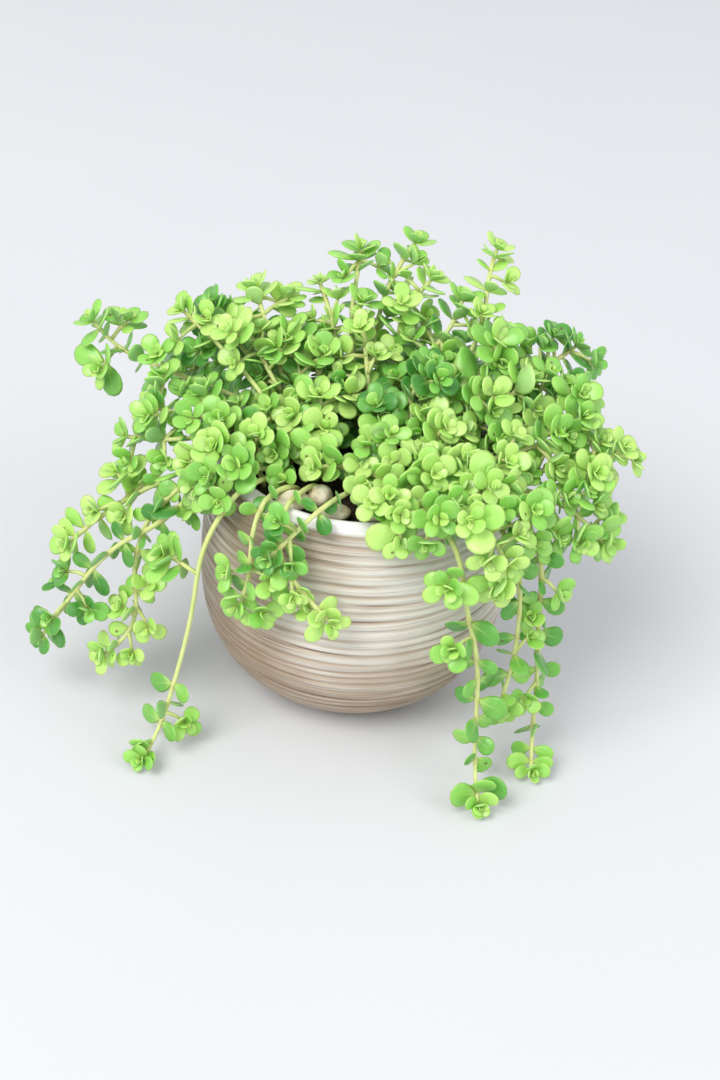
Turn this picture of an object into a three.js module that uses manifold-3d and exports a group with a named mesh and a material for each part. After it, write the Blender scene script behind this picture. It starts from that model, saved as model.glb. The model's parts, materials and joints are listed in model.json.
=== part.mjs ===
// A trailing peperomia with small round fleshy leaves, in a ribbed, glazed bowl.
// Millimetres, +Z up. The origin is the centre of the bowl's flat base and -Y is the front.
import * as THREE from "three";
import { mergeVertices } from "three/addons/utils/BufferGeometryUtils.js";
import Module from "manifold-3d";

const wasm = await Module();
wasm.setup();
const { Manifold } = wasm;

// Bowl: widest a little under half its height, closing in again towards the lip.
const BOWL_HEIGHT = 85;
const BELLY_RADIUS = 50;
const BELLY_HEIGHT = 41.8;
const LIP_RADIUS = 44.5;
const LOWER_DEPTH = 47.3;
const LOWER_POWER = 2.38;
const WALL = 3.4;
const FLOOR_THICKNESS = 5;
const BOWL_SIDES = 24;
const RIB_DEPTH = 0.9;
// Height of each comb groove between the ribs: uneven, as the tool left them.
const GROOVES = [8, 14.5, 20, 27.5, 33, 40.5, 46, 53, 58.5, 65, 71.5, 77.5];

// Soil and pebbles.
const SOIL_TOP = 79.5;
const SOIL_SIDES = 20;
const FIT = 0.3;
const PEBBLES = [
  { name: "pebble_front_left", at: [-19.5, -32], size: [4.6, 3.4, 2.6], turn: 0.4, beige: false },
  { name: "pebble_front_round", at: [-11.5, -28.5], size: [3.3, 3.1, 2.9], turn: 0, beige: false },
  { name: "pebble_front_long", at: [-6.5, -36], size: [4.1, 2.7, 2.2], turn: 0.1, beige: false },
  { name: "pebble_front_right", at: [4.5, -35.5], size: [4.2, 3, 2.3], turn: -0.2, beige: false },
  { name: "pebble_middle_beige", at: [-19.5, 2], size: [3.9, 3.2, 2.4], turn: 0.8, beige: true },
];

// Stems.
const STEM_RADIUS = 0.8;
const SHOOT_RADIUS = 0.65;
const STEM_SIDES = 3;
const SHOOT_SIDES = 3;
const ROOT_DEPTH = 74;
const ROOT_REACH = 33;
const ROOT_SPACING = 6.2;
const COLLAR = 82.6;
const FINE_STEP = 3;
const STEM_CLEARANCE = 3.1;
const SETTLE_PASSES = 40;
const SHOOT_GAP = 6;

// Leaves.
const LEAF_LENGTH = 9;
const LEAF_THICKNESS = 1.5;
const LEAF_CUP = 0.16;
const LEAF_GAP = 0.35;
// Outer corners of a leaf: how far out and how far sideways they lie, in leaf lengths.
const BLADE = [[0.92, 0.36], [0.92, -0.36]];
const NOTCH = 1.1;
const WHORL_CORE = 1.1;
const SIDE_LIGHT = 0.6;
const TIP_LIFT = 0.8;
const INTERNODE = 8.5;
// What a leaf that meets a neighbour tries in turn: added pitch and swing in radians, and its size.
const TRIES = [
  [0, 0, 1],
  [-0.3, 0.2, 0.95],
  [0.25, -0.25, 0.9],
  [-0.6, 0.3, 0.85],
  [-0.3, -0.5, 0.75],
  [-0.7, 0, 0.7],
];

// Every leafy stem: the points it passes through above the soil, then the tips of its side shoots.
// tone tells how old the leaves look, leaf scales them, pairs counts the joints with leaves below the tip.
const STEMS = [
  { name: "far_left", tone: "mature", leaf: 1, pairs: 1,
    route: [[-37, 6, 94], [-65, 22, 94], [-83, 30, 97], [-89, 32, 104]],
    shoots: [[-85, 22, 92], [-66, 18, 101]] },
  { name: "bare_left", tone: "young", leaf: 0.95, pairs: 1,
    route: [[-29, -2, 98], [-41, 12, 104], [-59, 26, 113]],
    shoots: [[-51, 21, 113]] },
  { name: "mid_left", tone: "mature", leaf: 1, pairs: 0,
    route: [[-45, -6, 94], [-58, 0, 91], [-67, 5, 90]],
    shoots: [[-63, 10, 98]] },
  { name: "rear_left", tone: "old", leaf: 1.05, pairs: 0,
    route: [[-36, 22, 99], [-44, 26, 106], [-51, 30, 114]],
    shoots: [[-53, 20, 103]] },
  { name: "high_left", tone: "young", leaf: 1, pairs: 0,
    route: [[-27, 14, 100], [-32, 22, 110], [-37, 33, 119]],
    shoots: [[-30, 31, 116]] },
  { name: "bright_left", tone: "young", leaf: 0.95, pairs: 0,
    route: [[-26, 4, 98], [-32, 10, 106], [-39, 19, 113]],
    shoots: [[-33, 17, 113]] },
  { name: "broad_left", tone: "mature", leaf: 1.2, pairs: 0,
    route: [[-18, 4, 97], [-22, 10, 105], [-25, 18, 112]],
    shoots: [[-30, 12, 108]] },
  { name: "star_top", tone: "young", leaf: 0.8, pairs: 0,
    route: [[-10, 16, 108], [-13, 28, 116], [-17, 36, 121]],
    shoots: [[-11, 30, 119]] },
  { name: "tall_middle", tone: "mature", leaf: 1, pairs: 2,
    route: [[-4, 14, 104], [-7, 24, 115], [-5, 36, 126], [-5, 42, 130]],
    shoots: [[-9, 34, 125], [1, 40, 126]] },
  { name: "tall_fork", tone: "mature", leaf: 0.95, pairs: 1,
    route: [[1, 22, 106], [3, 34, 119], [8, 42, 128], [12, 45, 133]],
    shoots: [[5, 30, 114]] },
  { name: "top_right", tone: "young", leaf: 1, pairs: 0,
    route: [[8, 22, 106], [11, 32, 118], [18, 38, 124]],
    shoots: [[16, 30, 115]] },
  { name: "ball_middle", tone: "young", leaf: 0.85, pairs: 0,
    route: [[1, 2, 99], [-1, 14, 111], [-3, 21, 117]],
    shoots: [[2, 11, 110]] },
  { name: "rear_right", tone: "mature", leaf: 1, pairs: 0,
    route: [[16, 18, 106], [25, 23, 113], [28, 31, 121]],
    shoots: [[31, 26, 115]] },
  { name: "tall_right", tone: "young", leaf: 0.9, pairs: 1,
    route: [[30, 20, 104], [36, 29, 117], [35, 40, 129], [38, 43, 134]],
    shoots: [[41, 36, 126], [34, 26, 119]] },
  { name: "broad_right", tone: "mature", leaf: 1.25, pairs: 0,
    route: [[28, 4, 100], [36, 12, 108], [42, 19, 116]],
    shoots: [[47, 21, 110]] },
  { name: "far_top_right", tone: "old", leaf: 1, pairs: 1,
    route: [[44, 12, 100], [56, 18, 107], [65, 27, 110]],
    shoots: [[70, 23, 107], [62, 16, 103]] },
  { name: "far_mid_right", tone: "mature", leaf: 1, pairs: 1,
    route: [[40, 2, 98], [54, 6, 100], [68, 11, 103]],
    shoots: [[60, 10, 105]] },
  { name: "rosette_right", tone: "young", leaf: 1.15, pairs: 0,
    route: [[34, -6, 98], [42, 0, 103], [49, 7, 108]],
    shoots: [[51, 0, 102]] },
  { name: "inner_right", tone: "mature", leaf: 1, pairs: 0,
    route: [[22, -5, 98], [30, -2, 103], [36, 6, 106]],
    shoots: [[38, -6, 104]] },
  { name: "star_right", tone: "mature", leaf: 1.05, pairs: 1,
    route: [[42, -8, 94], [56, -5, 96], [69, 1, 97]],
    shoots: [[61, -8, 98], [71, -6, 92]] },
  { name: "far_right", tone: "young", leaf: 0.95, pairs: 1,
    route: [[44, -16, 90], [62, -14, 89], [73, -12, 90], [78, -10, 96]],
    shoots: [[72, -16, 86]] },
  { name: "mid_right", tone: "young", leaf: 1, pairs: 0,
    route: [[36, -18, 93], [46, -17, 96], [55, -12, 98]],
    shoots: [[45, -16, 101]] },
  { name: "low_right", tone: "mature", leaf: 0.95, pairs: 1,
    route: [[42, -24, 89], [55, -25, 88], [66, -26, 82], [75, -25, 72]],
    shoots: [[61, -27, 88], [70, -24, 84]] },
  { name: "lip_right", tone: "mature", leaf: 1, pairs: 0,
    route: [[38, -33, 89], [50, -37, 88], [59, -35, 79]],
    shoots: [[65, -30, 75]] },
  { name: "inner_front_right", tone: "young", leaf: 1, pairs: 0,
    route: [[18, -16, 94], [24, -15, 102]],
    shoots: [[30, -12, 100], [18, -8, 101]] },
  { name: "bright_front", tone: "young", leaf: 1.05, pairs: 0,
    route: [[16, -29, 90], [21, -33, 97]],
    shoots: [[28, -27, 97], [17, -24, 98]] },
  { name: "front_right", tone: "young", leaf: 1.1, pairs: 0,
    route: [[28, -32, 90], [37, -38, 97]],
    shoots: [[44, -33, 94]] },
  { name: "front_low_right", tone: "mature", leaf: 1, pairs: 0,
    route: [[16, -38, 89], [23, -51, 94]],
    shoots: [[20, -51, 86]] },
  { name: "front_hanging_right", tone: "young", leaf: 1.1, pairs: 0,
    route: [[29, -39, 90], [38, -50, 91], [44, -52, 80]],
    shoots: [[38, -55, 84], [41, -53, 72]] },
  { name: "trailing_front", tone: "mature", leaf: 1.05, pairs: 4,
    route: [[21, -39, 89], [30, -52, 83], [34, -53, 62], [39, -54, 46], [41, -56, 16], [42, -63, 4],
      [43, -70, 3]],
    shoots: [[27, -59, 76]] },
  { name: "trailing_right_short", tone: "mature", leaf: 0.9, pairs: 4,
    route: [[36, -36, 89], [47, -45, 80], [50, -45, 61], [51, -45, 43], [49, -46, 27], [48, -47, 21]],
    shoots: [] },
  { name: "trailing_right_long", tone: "mature", leaf: 0.9, pairs: 5,
    route: [[43, -30, 90], [55, -38, 76], [57, -39, 51], [59, -40, 34], [60, -41, 16], [60, -47, 4],
      [60, -54, 3]],
    shoots: [[61, -40, 63]] },
  { name: "centre_right", tone: "mature", leaf: 1, pairs: 0,
    route: [[10, -24, 92], [8, -20, 101]],
    shoots: [[14, -16, 98], [2, -21, 98]] },
  { name: "centre_front", tone: "young", leaf: 0.95, pairs: 0,
    route: [[1, -27, 89], [0, -26, 94]],
    shoots: [[-7, -24, 91], [7, -31, 93]] },
  { name: "centre_rosette", tone: "young", leaf: 1.15, pairs: 0,
    route: [[-13, -6, 95], [-14, -2, 102]],
    shoots: [[-5, 0, 102], [-21, -8, 98]] },
  { name: "centre_branch", tone: "old", leaf: 1, pairs: 0,
    route: [[6, -8, 95], [14, -2, 104], [19, 7, 111]],
    shoots: [[14, -9, 101]] },
  { name: "inner_left", tone: "mature", leaf: 0.9, pairs: 0,
    route: [[-25, -8, 92], [-29, -5, 98]],
    shoots: [[-22, -14, 93]] },
  { name: "inner_middle", tone: "old", leaf: 1, pairs: 0,
    route: [[-12, 8, 96], [-16, 12, 104]],
    shoots: [[-8, 4, 103]] },
  { name: "low_left", tone: "mature", leaf: 1, pairs: 0,
    route: [[-35, -23, 88], [-49, -28, 83]],
    shoots: [[-39, -36, 84], [-50, -27, 74]] },
  { name: "lip_left", tone: "young", leaf: 1.05, pairs: 0,
    route: [[-34, -16, 91], [-47, -17, 90]],
    shoots: [[-42, -14, 95]] },
  { name: "out_left", tone: "mature", leaf: 1, pairs: 1,
    route: [[-43, -8, 90], [-58, -8, 86], [-73, -4, 84]],
    shoots: [[-71, -9, 79], [-57, -3, 88]] },
  { name: "long_left", tone: "young", leaf: 1, pairs: 1,
    route: [[-42, -15, 88], [-61, -16, 76], [-75, -17, 67], [-89, -22, 55]],
    shoots: [[-75, -11, 75], [-71, -21, 67]] },
  { name: "trailing_left_outer", tone: "old", leaf: 1, pairs: 3,
    route: [[-41, -25, 88], [-56, -28, 72], [-74, -28, 59], [-84, -28, 45], [-91, -29, 34], [-97, -30, 24]],
    shoots: [[-89, -25, 46], [-82, -32, 38]] },
  { name: "trailing_left_inner", tone: "young", leaf: 0.9, pairs: 5,
    route: [[-40, -21, 88], [-57, -25, 78], [-66, -28, 64], [-68, -29, 50], [-66, -30, 38], [-68, -32, 28],
      [-77, -34, 21]],
    shoots: [[-71, -31, 38]] },
  { name: "trailing_left_front", tone: "mature", leaf: 1, pairs: 2,
    route: [[-34, -32, 89], [-45, -42, 72], [-47, -44, 53], [-50, -45, 36], [-54, -47, 18], [-58, -52, 4],
      [-61, -61, 3]],
    shoots: [[-57, -37, 64], [-50, -49, 9]] },
  { name: "hanging_front_left", tone: "mature", leaf: 0.95, pairs: 1,
    route: [[-27, -36, 89], [-31, -46, 78], [-29, -49, 64], [-33, -51, 58]],
    shoots: [[-24, -51, 68]] },
  { name: "arching_front", tone: "old", leaf: 0.85, pairs: 2,
    route: [[1, -31, 89], [-7, -39, 91], [-13, -47, 89], [-21, -52, 81], [-24, -51, 76]],
    shoots: [] },
  { name: "trailing_front_left", tone: "young", leaf: 0.8, pairs: 4,
    route: [[-19, -36, 89], [-24, -47, 80], [-19, -52, 71], [-11, -55, 63], [-5, -57, 58]],
    shoots: [] },
  { name: "front_over_lip", tone: "young", leaf: 1, pairs: 0,
    route: [[9, -36, 89], [12, -46, 91]],
    shoots: [[13, -50, 85]] },
  { name: "rear_edge_left", tone: "old", leaf: 1.05, pairs: 0,
    route: [[-36, 31, 91], [-47, 43, 89], [-52, 50, 78], [-54, 52, 66]],
    shoots: [[-44, 52, 84]] },
  { name: "rear_edge_inner_left", tone: "mature", leaf: 1, pairs: 0,
    route: [[-17, 37, 91], [-21, 49, 91], [-24, 57, 82]],
    shoots: [[-12, 54, 86]] },
  { name: "rear_edge_middle", tone: "old", leaf: 1.05, pairs: 0,
    route: [[4, 39, 91], [7, 49, 91], [8, 57, 80], [7, 59, 66]],
    shoots: [[16, 53, 86]] },
  { name: "rear_edge_right", tone: "old", leaf: 1, pairs: 0,
    route: [[25, 37, 91], [32, 47, 90], [38, 54, 80]],
    shoots: [[45, 45, 87]] },
];

const TONES = { young: "#a8c84c", mature: "#6da83f", old: "#3f8230" };

// A repeatable stream of numbers between 0 and 1.
function seeded(seed) {
  let state = seed >>> 0;
  return () => {
    state = (state + 0x6d2b79f5) >>> 0;
    let t = state;
    t = Math.imul(t ^ (t >>> 15), t | 1);
    t ^= t + Math.imul(t ^ (t >>> 7), t | 61);
    return ((t ^ (t >>> 14)) >>> 0) / 4294967296;
  };
}

// A closed body from a three.js geometry, ready to be joined or cut.
function solid(geometry) {
  const bare = geometry.clone();
  bare.deleteAttribute("normal");
  bare.deleteAttribute("uv");
  const merged = mergeVertices(bare, 1e-4);
  return new Manifold(new wasm.Mesh({
    numProp: 3,
    vertProperties: new Float32Array(merged.attributes.position.array),
    triVerts: new Uint32Array(merged.index.array),
  }));
}

// The outer skin of a joined body: a hollow that joining has sealed is filled and a loose scrap dropped.
function largestPiece(body) {
  return body.decompose().reduce((a, b) => (b.volume() > a.volume() ? b : a));
}

function meshOf(body, name, colour, roughness) {
  const raw = body.getMesh();
  const geometry = new THREE.BufferGeometry();
  geometry.setAttribute("position", new THREE.BufferAttribute(new Float32Array(raw.vertProperties), 3));
  geometry.setIndex(new THREE.BufferAttribute(new Uint32Array(raw.triVerts), 1));
  geometry.computeVertexNormals();
  const material = new THREE.MeshStandardMaterial({ color: colour, roughness, metalness: 0 });
  const mesh = new THREE.Mesh(geometry, material);
  mesh.name = name;
  return mesh;
}

// A turned body about +Z from (radius, height) pairs that run up its outside.
function turned(profile, sides) {
  const points = profile.map(([radius, height]) => new THREE.Vector2(radius, height));
  return solid(new THREE.LatheGeometry(points, sides).rotateX(Math.PI / 2));
}

// Outside radius of the bowl at a height, over the crests of the ribs.
function bowlRadius(z) {
  if (z < BELLY_HEIGHT) {
    const depth = (BELLY_HEIGHT - z) / LOWER_DEPTH;
    return BELLY_RADIUS * (1 - depth ** LOWER_POWER) ** (1 / LOWER_POWER);
  }
  const rise = (z - BELLY_HEIGHT) / (BOWL_HEIGHT - BELLY_HEIGHT);
  return BELLY_RADIUS - (BELLY_RADIUS - LIP_RADIUS) * rise * rise;
}

function innerRadius(z) {
  return bowlRadius(z) - WALL;
}

function makeBowl() {
  const outside = [[0, 0], [bowlRadius(0) - 1, 0], [bowlRadius(0.8), 0.8]];
  GROOVES.forEach((groove, i) => {
    const next = GROOVES[i + 1] ?? groove + 4.4;
    outside.push([bowlRadius(groove) - RIB_DEPTH, groove]);
    outside.push([bowlRadius((groove + next) / 2), (groove + next) / 2]);
  });
  const lip = [[LIP_RADIUS, 83.4], [LIP_RADIUS - 0.9, BOWL_HEIGHT - 0.2], [LIP_RADIUS - 2.4, BOWL_HEIGHT]];
  const inside = [84, BELLY_HEIGHT, 18].map((z) => [innerRadius(z), z]);
  const floor = [[bowlRadius(5) - WALL - 4, FLOOR_THICKNESS], [0, FLOOR_THICKNESS]];
  return turned([...outside, ...lip, ...inside, ...floor], BOWL_SIDES);
}

// The soil fills the bowl to a little under its lip, with a plain upright hole for each stem.
function makeSoil(roots) {
  const wall = [18, BELLY_HEIGHT, 78].map((z) => [innerRadius(z) - FIT - 0.8, z]);
  const bottom = [[0, FLOOR_THICKNESS + FIT], [bowlRadius(5) - WALL - 5, FLOOR_THICKNESS + FIT]];
  const top = [[36, SOIL_TOP], [0, SOIL_TOP]];
  const soil = turned([...bottom, ...wall, ...top], SOIL_SIDES);
  const holes = roots.map(([x, y]) => {
    const radius = (STEM_RADIUS + FIT) * Math.SQRT2;
    const hole = new THREE.CylinderGeometry(radius, radius, 10, 4).rotateX(Math.PI / 2);
    return solid(hole.translate(x, y, ROOT_DEPTH - FIT + 5));
  });
  return soil.subtract(Manifold.union(holes));
}

// A rounded pebble, its underside cut flat where it lies on the soil.
function makePebble({ at, size, turn }, index) {
  const random = seeded(900 + index);
  const pebble = new THREE.SphereGeometry(1, 7, 4);
  const merged = mergeVertices(pebble.deleteAttribute("normal").deleteAttribute("uv"), 1e-4);
  const position = merged.attributes.position;
  for (let i = 0; i < position.count; i += 1) {
    const bump = 0.93 + 0.14 * random();
    position.setXYZ(i, position.getX(i) * bump, position.getY(i) * bump, position.getZ(i) * bump);
  }
  merged.scale(...size).rotateZ(turn).translate(at[0], at[1], SOIL_TOP + FIT + size[2] * 0.45);
  const under = solid(new THREE.BoxGeometry(20, 20, 10).translate(at[0], at[1], SOIL_TOP + FIT - 5));
  return solid(merged).subtract(under);
}

// A smooth line through hand-set points, as samples a few millimetres apart.
function thread(points) {
  const line = [points[0]];
  for (let i = 0; i + 1 < points.length; i += 1) {
    const [b, c] = [points[i], points[i + 1]];
    const a = points[i - 1] ?? b.clone().multiplyScalar(2).sub(c);
    const d = points[i + 2] ?? c.clone().multiplyScalar(2).sub(b);
    const pieces = Math.max(1, Math.round(b.distanceTo(c) / FINE_STEP));
    for (let k = 1; k <= pieces; k += 1) {
      const t = k / pieces;
      const p = new THREE.Vector3();
      for (const axis of ["x", "y", "z"]) {
        const slopeB = (c[axis] - a[axis]) / 2;
        const slopeC = (d[axis] - b[axis]) / 2;
        const gap = c[axis] - b[axis];
        const bend = 3 * gap - 2 * slopeB - slopeC + t * (slopeB + slopeC - 2 * gap);
        p[axis] = b[axis] + t * (slopeB + t * bend);
      }
      line.push(p);
    }
  }
  return line;
}

// Roots stand under their stems, nearer the middle, and are then spread until none crowds another.
function placeRoots() {
  const roots = STEMS.map(({ route: [[x, y]] }) => {
    const reach = Math.hypot(x, y);
    const radius = Math.min(ROOT_REACH, 0.62 * reach + 2);
    return [x * radius / reach, y * radius / reach];
  });
  for (let pass = 0; pass < 300; pass += 1) {
    const moves = roots.map(() => [0, 0]);
    roots.forEach((a, i) => {
      roots.forEach((b, j) => {
        const away = Math.hypot(a[0] - b[0], a[1] - b[1]);
        if (i !== j && away < ROOT_SPACING) {
          moves[i][0] += (a[0] - b[0]) / away * (ROOT_SPACING - away) * 0.4;
          moves[i][1] += (a[1] - b[1]) / away * (ROOT_SPACING - away) * 0.4;
        }
      });
      PEBBLES.forEach(({ at, size }) => {
        const away = Math.hypot(a[0] - at[0], a[1] - at[1]);
        const room = size[0] + 2;
        if (away < room) {
          moves[i][0] += (a[0] - at[0]) / away * (room - away);
          moves[i][1] += (a[1] - at[1]) / away * (room - away);
        }
      });
    });
    roots.forEach((root, i) => {
      root[0] += moves[i][0];
      root[1] += moves[i][1];
      const reach = Math.hypot(root[0], root[1]);
      if (reach > ROOT_REACH + 2) {
        root[0] *= (ROOT_REACH + 2) / reach;
        root[1] *= (ROOT_REACH + 2) / reach;
      }
    });
  }
  return roots;
}

// The main line of a stem: upright in its hole, over the lip if it leaves the bowl, then on its route.
function mainLine(stem, [x, y]) {
  const route = stem.route.map((p) => new THREE.Vector3(...p));
  const collar = new THREE.Vector3(x, y, COLLAR);
  const upright = new THREE.Vector3(x, y, COLLAR + 3);
  return [new THREE.Vector3(x, y, ROOT_DEPTH), collar, ...thread([upright, ...route])];
}

// A side shoot leaves the main line at its nearest point that is far enough below the shoot's tip.
function shootLine(main, tip) {
  let start = main.length - 2;
  let best = Infinity;
  for (let i = 3; i < main.length - 1; i += 1) {
    const away = main[i].distanceTo(tip);
    if (away >= SHOOT_GAP && away < best) {
      best = away;
      start = i;
    }
  }
  const middle = main[start].clone().lerp(tip, 0.5);
  middle.z += 0.08 * best;
  return { start, points: thread([main[start].clone(), middle, tip]) };
}

// Pushes the lines of different stems apart, and keeps them off the lip, the wall and the ground.
function settle(lines) {
  const spots = lines.flatMap((line) => line.points.map((p, k) => ({ line, k, p })));
  for (let pass = 0; pass < SETTLE_PASSES; pass += 1) {
    const moves = spots.map(() => new THREE.Vector3());
    for (let i = 0; i < spots.length; i += 1) {
      for (let j = i + 1; j < spots.length; j += 1) {
        const [a, b] = [spots[i], spots[j]];
        if (a.line.owner === b.line.owner || Math.abs(a.p.x - b.p.x) > STEM_CLEARANCE) continue;
        const apart = a.p.clone().sub(b.p);
        const away = Math.max(apart.length(), 0.01);
        if (away >= STEM_CLEARANCE) continue;
        apart.multiplyScalar((STEM_CLEARANCE - away) * 0.4 / away);
        moves[i].add(apart);
        moves[j].sub(apart);
      }
    }
    spots.forEach(({ line, k, p }, i) => {
      const neighbours = [line.points[k - 1], line.points[k + 1]];
      if (k > 3 && neighbours[1]) {
        const mean = neighbours[0].clone().add(neighbours[1]).multiplyScalar(0.5);
        moves[i].add(mean.sub(p).multiplyScalar(0.15));
      }
    });
    spots.forEach(({ line, k, p }, i) => {
      const fixed = line.parent ? 0 : 2;
      if (k < fixed) return;
      p.add(moves[i]);
      keepClear(p, line.radius);
    });
    lines.filter((line) => line.parent).forEach((line) => {
      line.points[0].copy(line.parent.points[line.start]);
    });
  }
}

function keepClear(p, radius) {
  p.z = Math.max(p.z, radius + 0.6);
  const reach = Math.hypot(p.x, p.y);
  if (p.z < BOWL_HEIGHT + 2 && reach > LIP_RADIUS - WALL - 3 && reach < LIP_RADIUS) {
    p.z = BOWL_HEIGHT + 2;
  } else if (p.z < BOWL_HEIGHT + 2 && reach >= LIP_RADIUS) {
    const wall = bowlRadius(Math.min(p.z, BOWL_HEIGHT)) + 1.8;
    const out = Math.max(1, wall / reach);
    p.x *= out;
    p.y *= out;
  }
}

// A stem: a small many-sided section extruded along its line.
function tube(points, radius, sides) {
  const corners = [...Array(sides).keys()].map((k) => {
    const angle = k * 2 * Math.PI / sides;
    return new THREE.Vector2(radius * Math.cos(angle), radius * Math.sin(angle));
  });
  const extrudePath = new THREE.CatmullRomCurve3(points);
  const steps = points.length - 1;
  const section = new THREE.Shape(corners);
  return solid(new THREE.ExtrudeGeometry(section, { steps, extrudePath, bevelEnabled: false }));
}

// Direction of the line at each point, with two steady side directions.
function framesAlong(points) {
  let reference = new THREE.Vector3(1, 0, 0);
  return points.map((p, i) => {
    const before = points[Math.max(i - 1, 0)];
    const after = points[Math.min(i + 1, points.length - 1)];
    const along = after.clone().sub(before).normalize();
    const side = reference.clone().addScaledVector(along, -reference.dot(along)).normalize();
    reference = side;
    return { along, side, other: along.clone().cross(side) };
  });
}

// The room that one leaf takes: a flattened ball of a few facets, drawn out from a narrow base.
function leafRoom(leaf, extra) {
  const geometry = new THREE.SphereGeometry(1, 5, 2);
  const position = geometry.attributes.position;
  const { base, forward, normal, length } = leaf;
  const across = forward.clone().cross(normal);
  const thick = LEAF_THICKNESS / 2 + extra;
  for (let i = 0; i < position.count; i += 1) {
    const s = (position.getX(i) + 1) / 2;
    const v = position.getZ(i);
    const out = (length + extra) * s ** 0.8 * 1.05;
    const wide = v * (length * (0.06 + 0.65 * s) + extra);
    const p = base.clone().addScaledVector(forward, out).addScaledVector(across, wide);
    p.addScaledVector(normal, position.getY(i) * thick + LEAF_CUP * length * s);
    position.setXYZ(i, p.x, p.y, p.z);
  }
  return geometry;
}

// A whorl or pair of fleshy leaves as one body: a flattened ball with its rim drawn out into a lobe
// for each leaf, thick at the joint and thin at the leaf's edge. On a hanging stem the leaves face
// back along it, so the lobes are drawn the other way round.
function whorlShape(poses, { base, along, side, other }) {
  const sorted = [...poses].sort((a, b) => a.phase - b.phase);
  const rim = [];
  sorted.forEach(({ phase, forward, normal, length }, k) => {
    const before = k > 0 ? sorted[k - 1].phase : sorted[sorted.length - 1].phase - 2 * Math.PI;
    const valley = (phase + before) / 2;
    const notch = base.clone().addScaledVector(side, Math.cos(valley) * NOTCH);
    rim.push(notch.addScaledVector(other, Math.sin(valley) * NOTCH));
    const facing = normal.dot(along) < 0 ? -1 : 1;
    const across = forward.clone().cross(normal).multiplyScalar(facing);
    BLADE.forEach(([out, wide]) => {
      const p = base.clone().addScaledVector(forward, out * length).addScaledVector(across, wide * length);
      rim.push(p.addScaledVector(normal, LEAF_CUP * length * out));
    });
  });
  const geometry = new THREE.SphereGeometry(1, rim.length, 2);
  const position = geometry.attributes.position;
  for (let i = 0; i < position.count; i += 1) {
    const pole = Math.round(position.getY(i));
    const p = rim[i % (rim.length + 1) % rim.length].clone();
    if (pole !== 0) p.copy(base).addScaledVector(along, pole * WHORL_CORE);
    position.setXYZ(i, p.x, p.y, p.z);
  }
  return geometry;
}

// Light comes from above and from outside, and tips and leaves turn towards it.
function towardsLight({ x, y }) {
  const reach = Math.max(Math.hypot(x, y), 30);
  return new THREE.Vector3(SIDE_LIGHT * x / reach, SIDE_LIGHT * y / reach, 1).normalize();
}

// Directions of a leaf that spreads from a stem at a pitch (0 is along the stem, 90 is square to it).
function leafPose({ base, along, side, other }, phase, pitch, length) {
  const out = side.clone().multiplyScalar(Math.cos(phase)).addScaledVector(other, Math.sin(phase));
  const forward = along.clone().multiplyScalar(Math.cos(pitch)).addScaledVector(out, Math.sin(pitch));
  const normal = towardsLight(base).addScaledVector(along, 0.5);
  normal.addScaledVector(forward, -normal.dot(forward)).normalize();
  return { base, forward, normal, length, phase };
}

// The spot a given length along a line, on the axis of its tube.
function spotAt(line, length) {
  const { points, lengthAt, frames } = line;
  let i = 1;
  while (i < points.length - 1 && lengthAt[i] < length) i += 1;
  const share = (length - lengthAt[i - 1]) / (lengthAt[i] - lengthAt[i - 1]);
  const { along, side, other } = frames[share < 0.5 ? i - 1 : i];
  const base = points[i - 1].clone().lerp(points[i], share);
  return { base, along: along.clone(), side: side.clone(), other: other.clone() };
}

// The places for leaves on one line: a rosette of whorls at the tip, then pairs at each joint below.
function leafPlaces(line, stem, random) {
  const total = line.lengthAt[line.points.length - 1];
  const size = LEAF_LENGTH * stem.leaf;
  const turn = random() * Math.PI;
  const places = [];
  const whorl = (rank, back, count, pitch, scale, phase) => {
    const spot = spotAt(line, total - back);
    if (rank === 0) {
      spot.along.addScaledVector(towardsLight(spot.base), TIP_LIFT).normalize();
      spot.side.addScaledVector(spot.along, -spot.side.dot(spot.along)).normalize();
      spot.other = spot.along.clone().cross(spot.side);
    }
    for (let k = 0; k < count; k += 1) {
      const swing = phase + k * 2 * Math.PI / count + (random() - 0.5) * 0.2;
      const lean = (pitch + (random() - 0.5) * 18) * Math.PI / 180;
      const length = size * scale * (0.9 + 0.2 * random());
      places.push({ spot, rank, phase: swing, pitch: lean, length });
    }
  };
  whorl(0, 0.2, 4, 60, 1, turn);
  let back = 0;
  for (let joint = 1; joint <= line.pairs; joint += 1) {
    back += INTERNODE * (0.85 + 0.3 * random());
    whorl(joint, back, 2, 76, 1.1, turn + joint * Math.PI / 2);
  }
  return places;
}

// A leaf may not enter the bowl's wall, the soil, the pebbles or the ground.
function leafClearOfBowl(geometry) {
  const position = geometry.attributes.position;
  let inside = false;
  let outside = false;
  for (let i = 0; i < position.count; i += 1) {
    const [x, y, z] = [position.getX(i), position.getY(i), position.getZ(i)];
    const reach = Math.hypot(x, y);
    if (z < LEAF_GAP) return false;
    if (z > BOWL_HEIGHT + LEAF_GAP) continue;
    if (reach < innerRadius(BOWL_HEIGHT) - 0.6 && z > SOIL_TOP + 4.6) inside = true;
    else if (reach > bowlRadius(z) + LEAF_GAP) outside = true;
    else return false;
  }
  return !(inside && outside);
}

const rootSpots = placeRoots();
const lines = [];
STEMS.forEach((stem, owner) => {
  const main = { owner, radius: STEM_RADIUS, pairs: stem.pairs, points: mainLine(stem, rootSpots[owner]) };
  lines.push(main);
  stem.shoots.forEach((tip) => {
    const { start, points } = shootLine(main.points, new THREE.Vector3(...tip));
    lines.push({ owner, radius: SHOOT_RADIUS, pairs: 0, points, parent: main, start });
  });
});
settle(lines);

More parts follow.
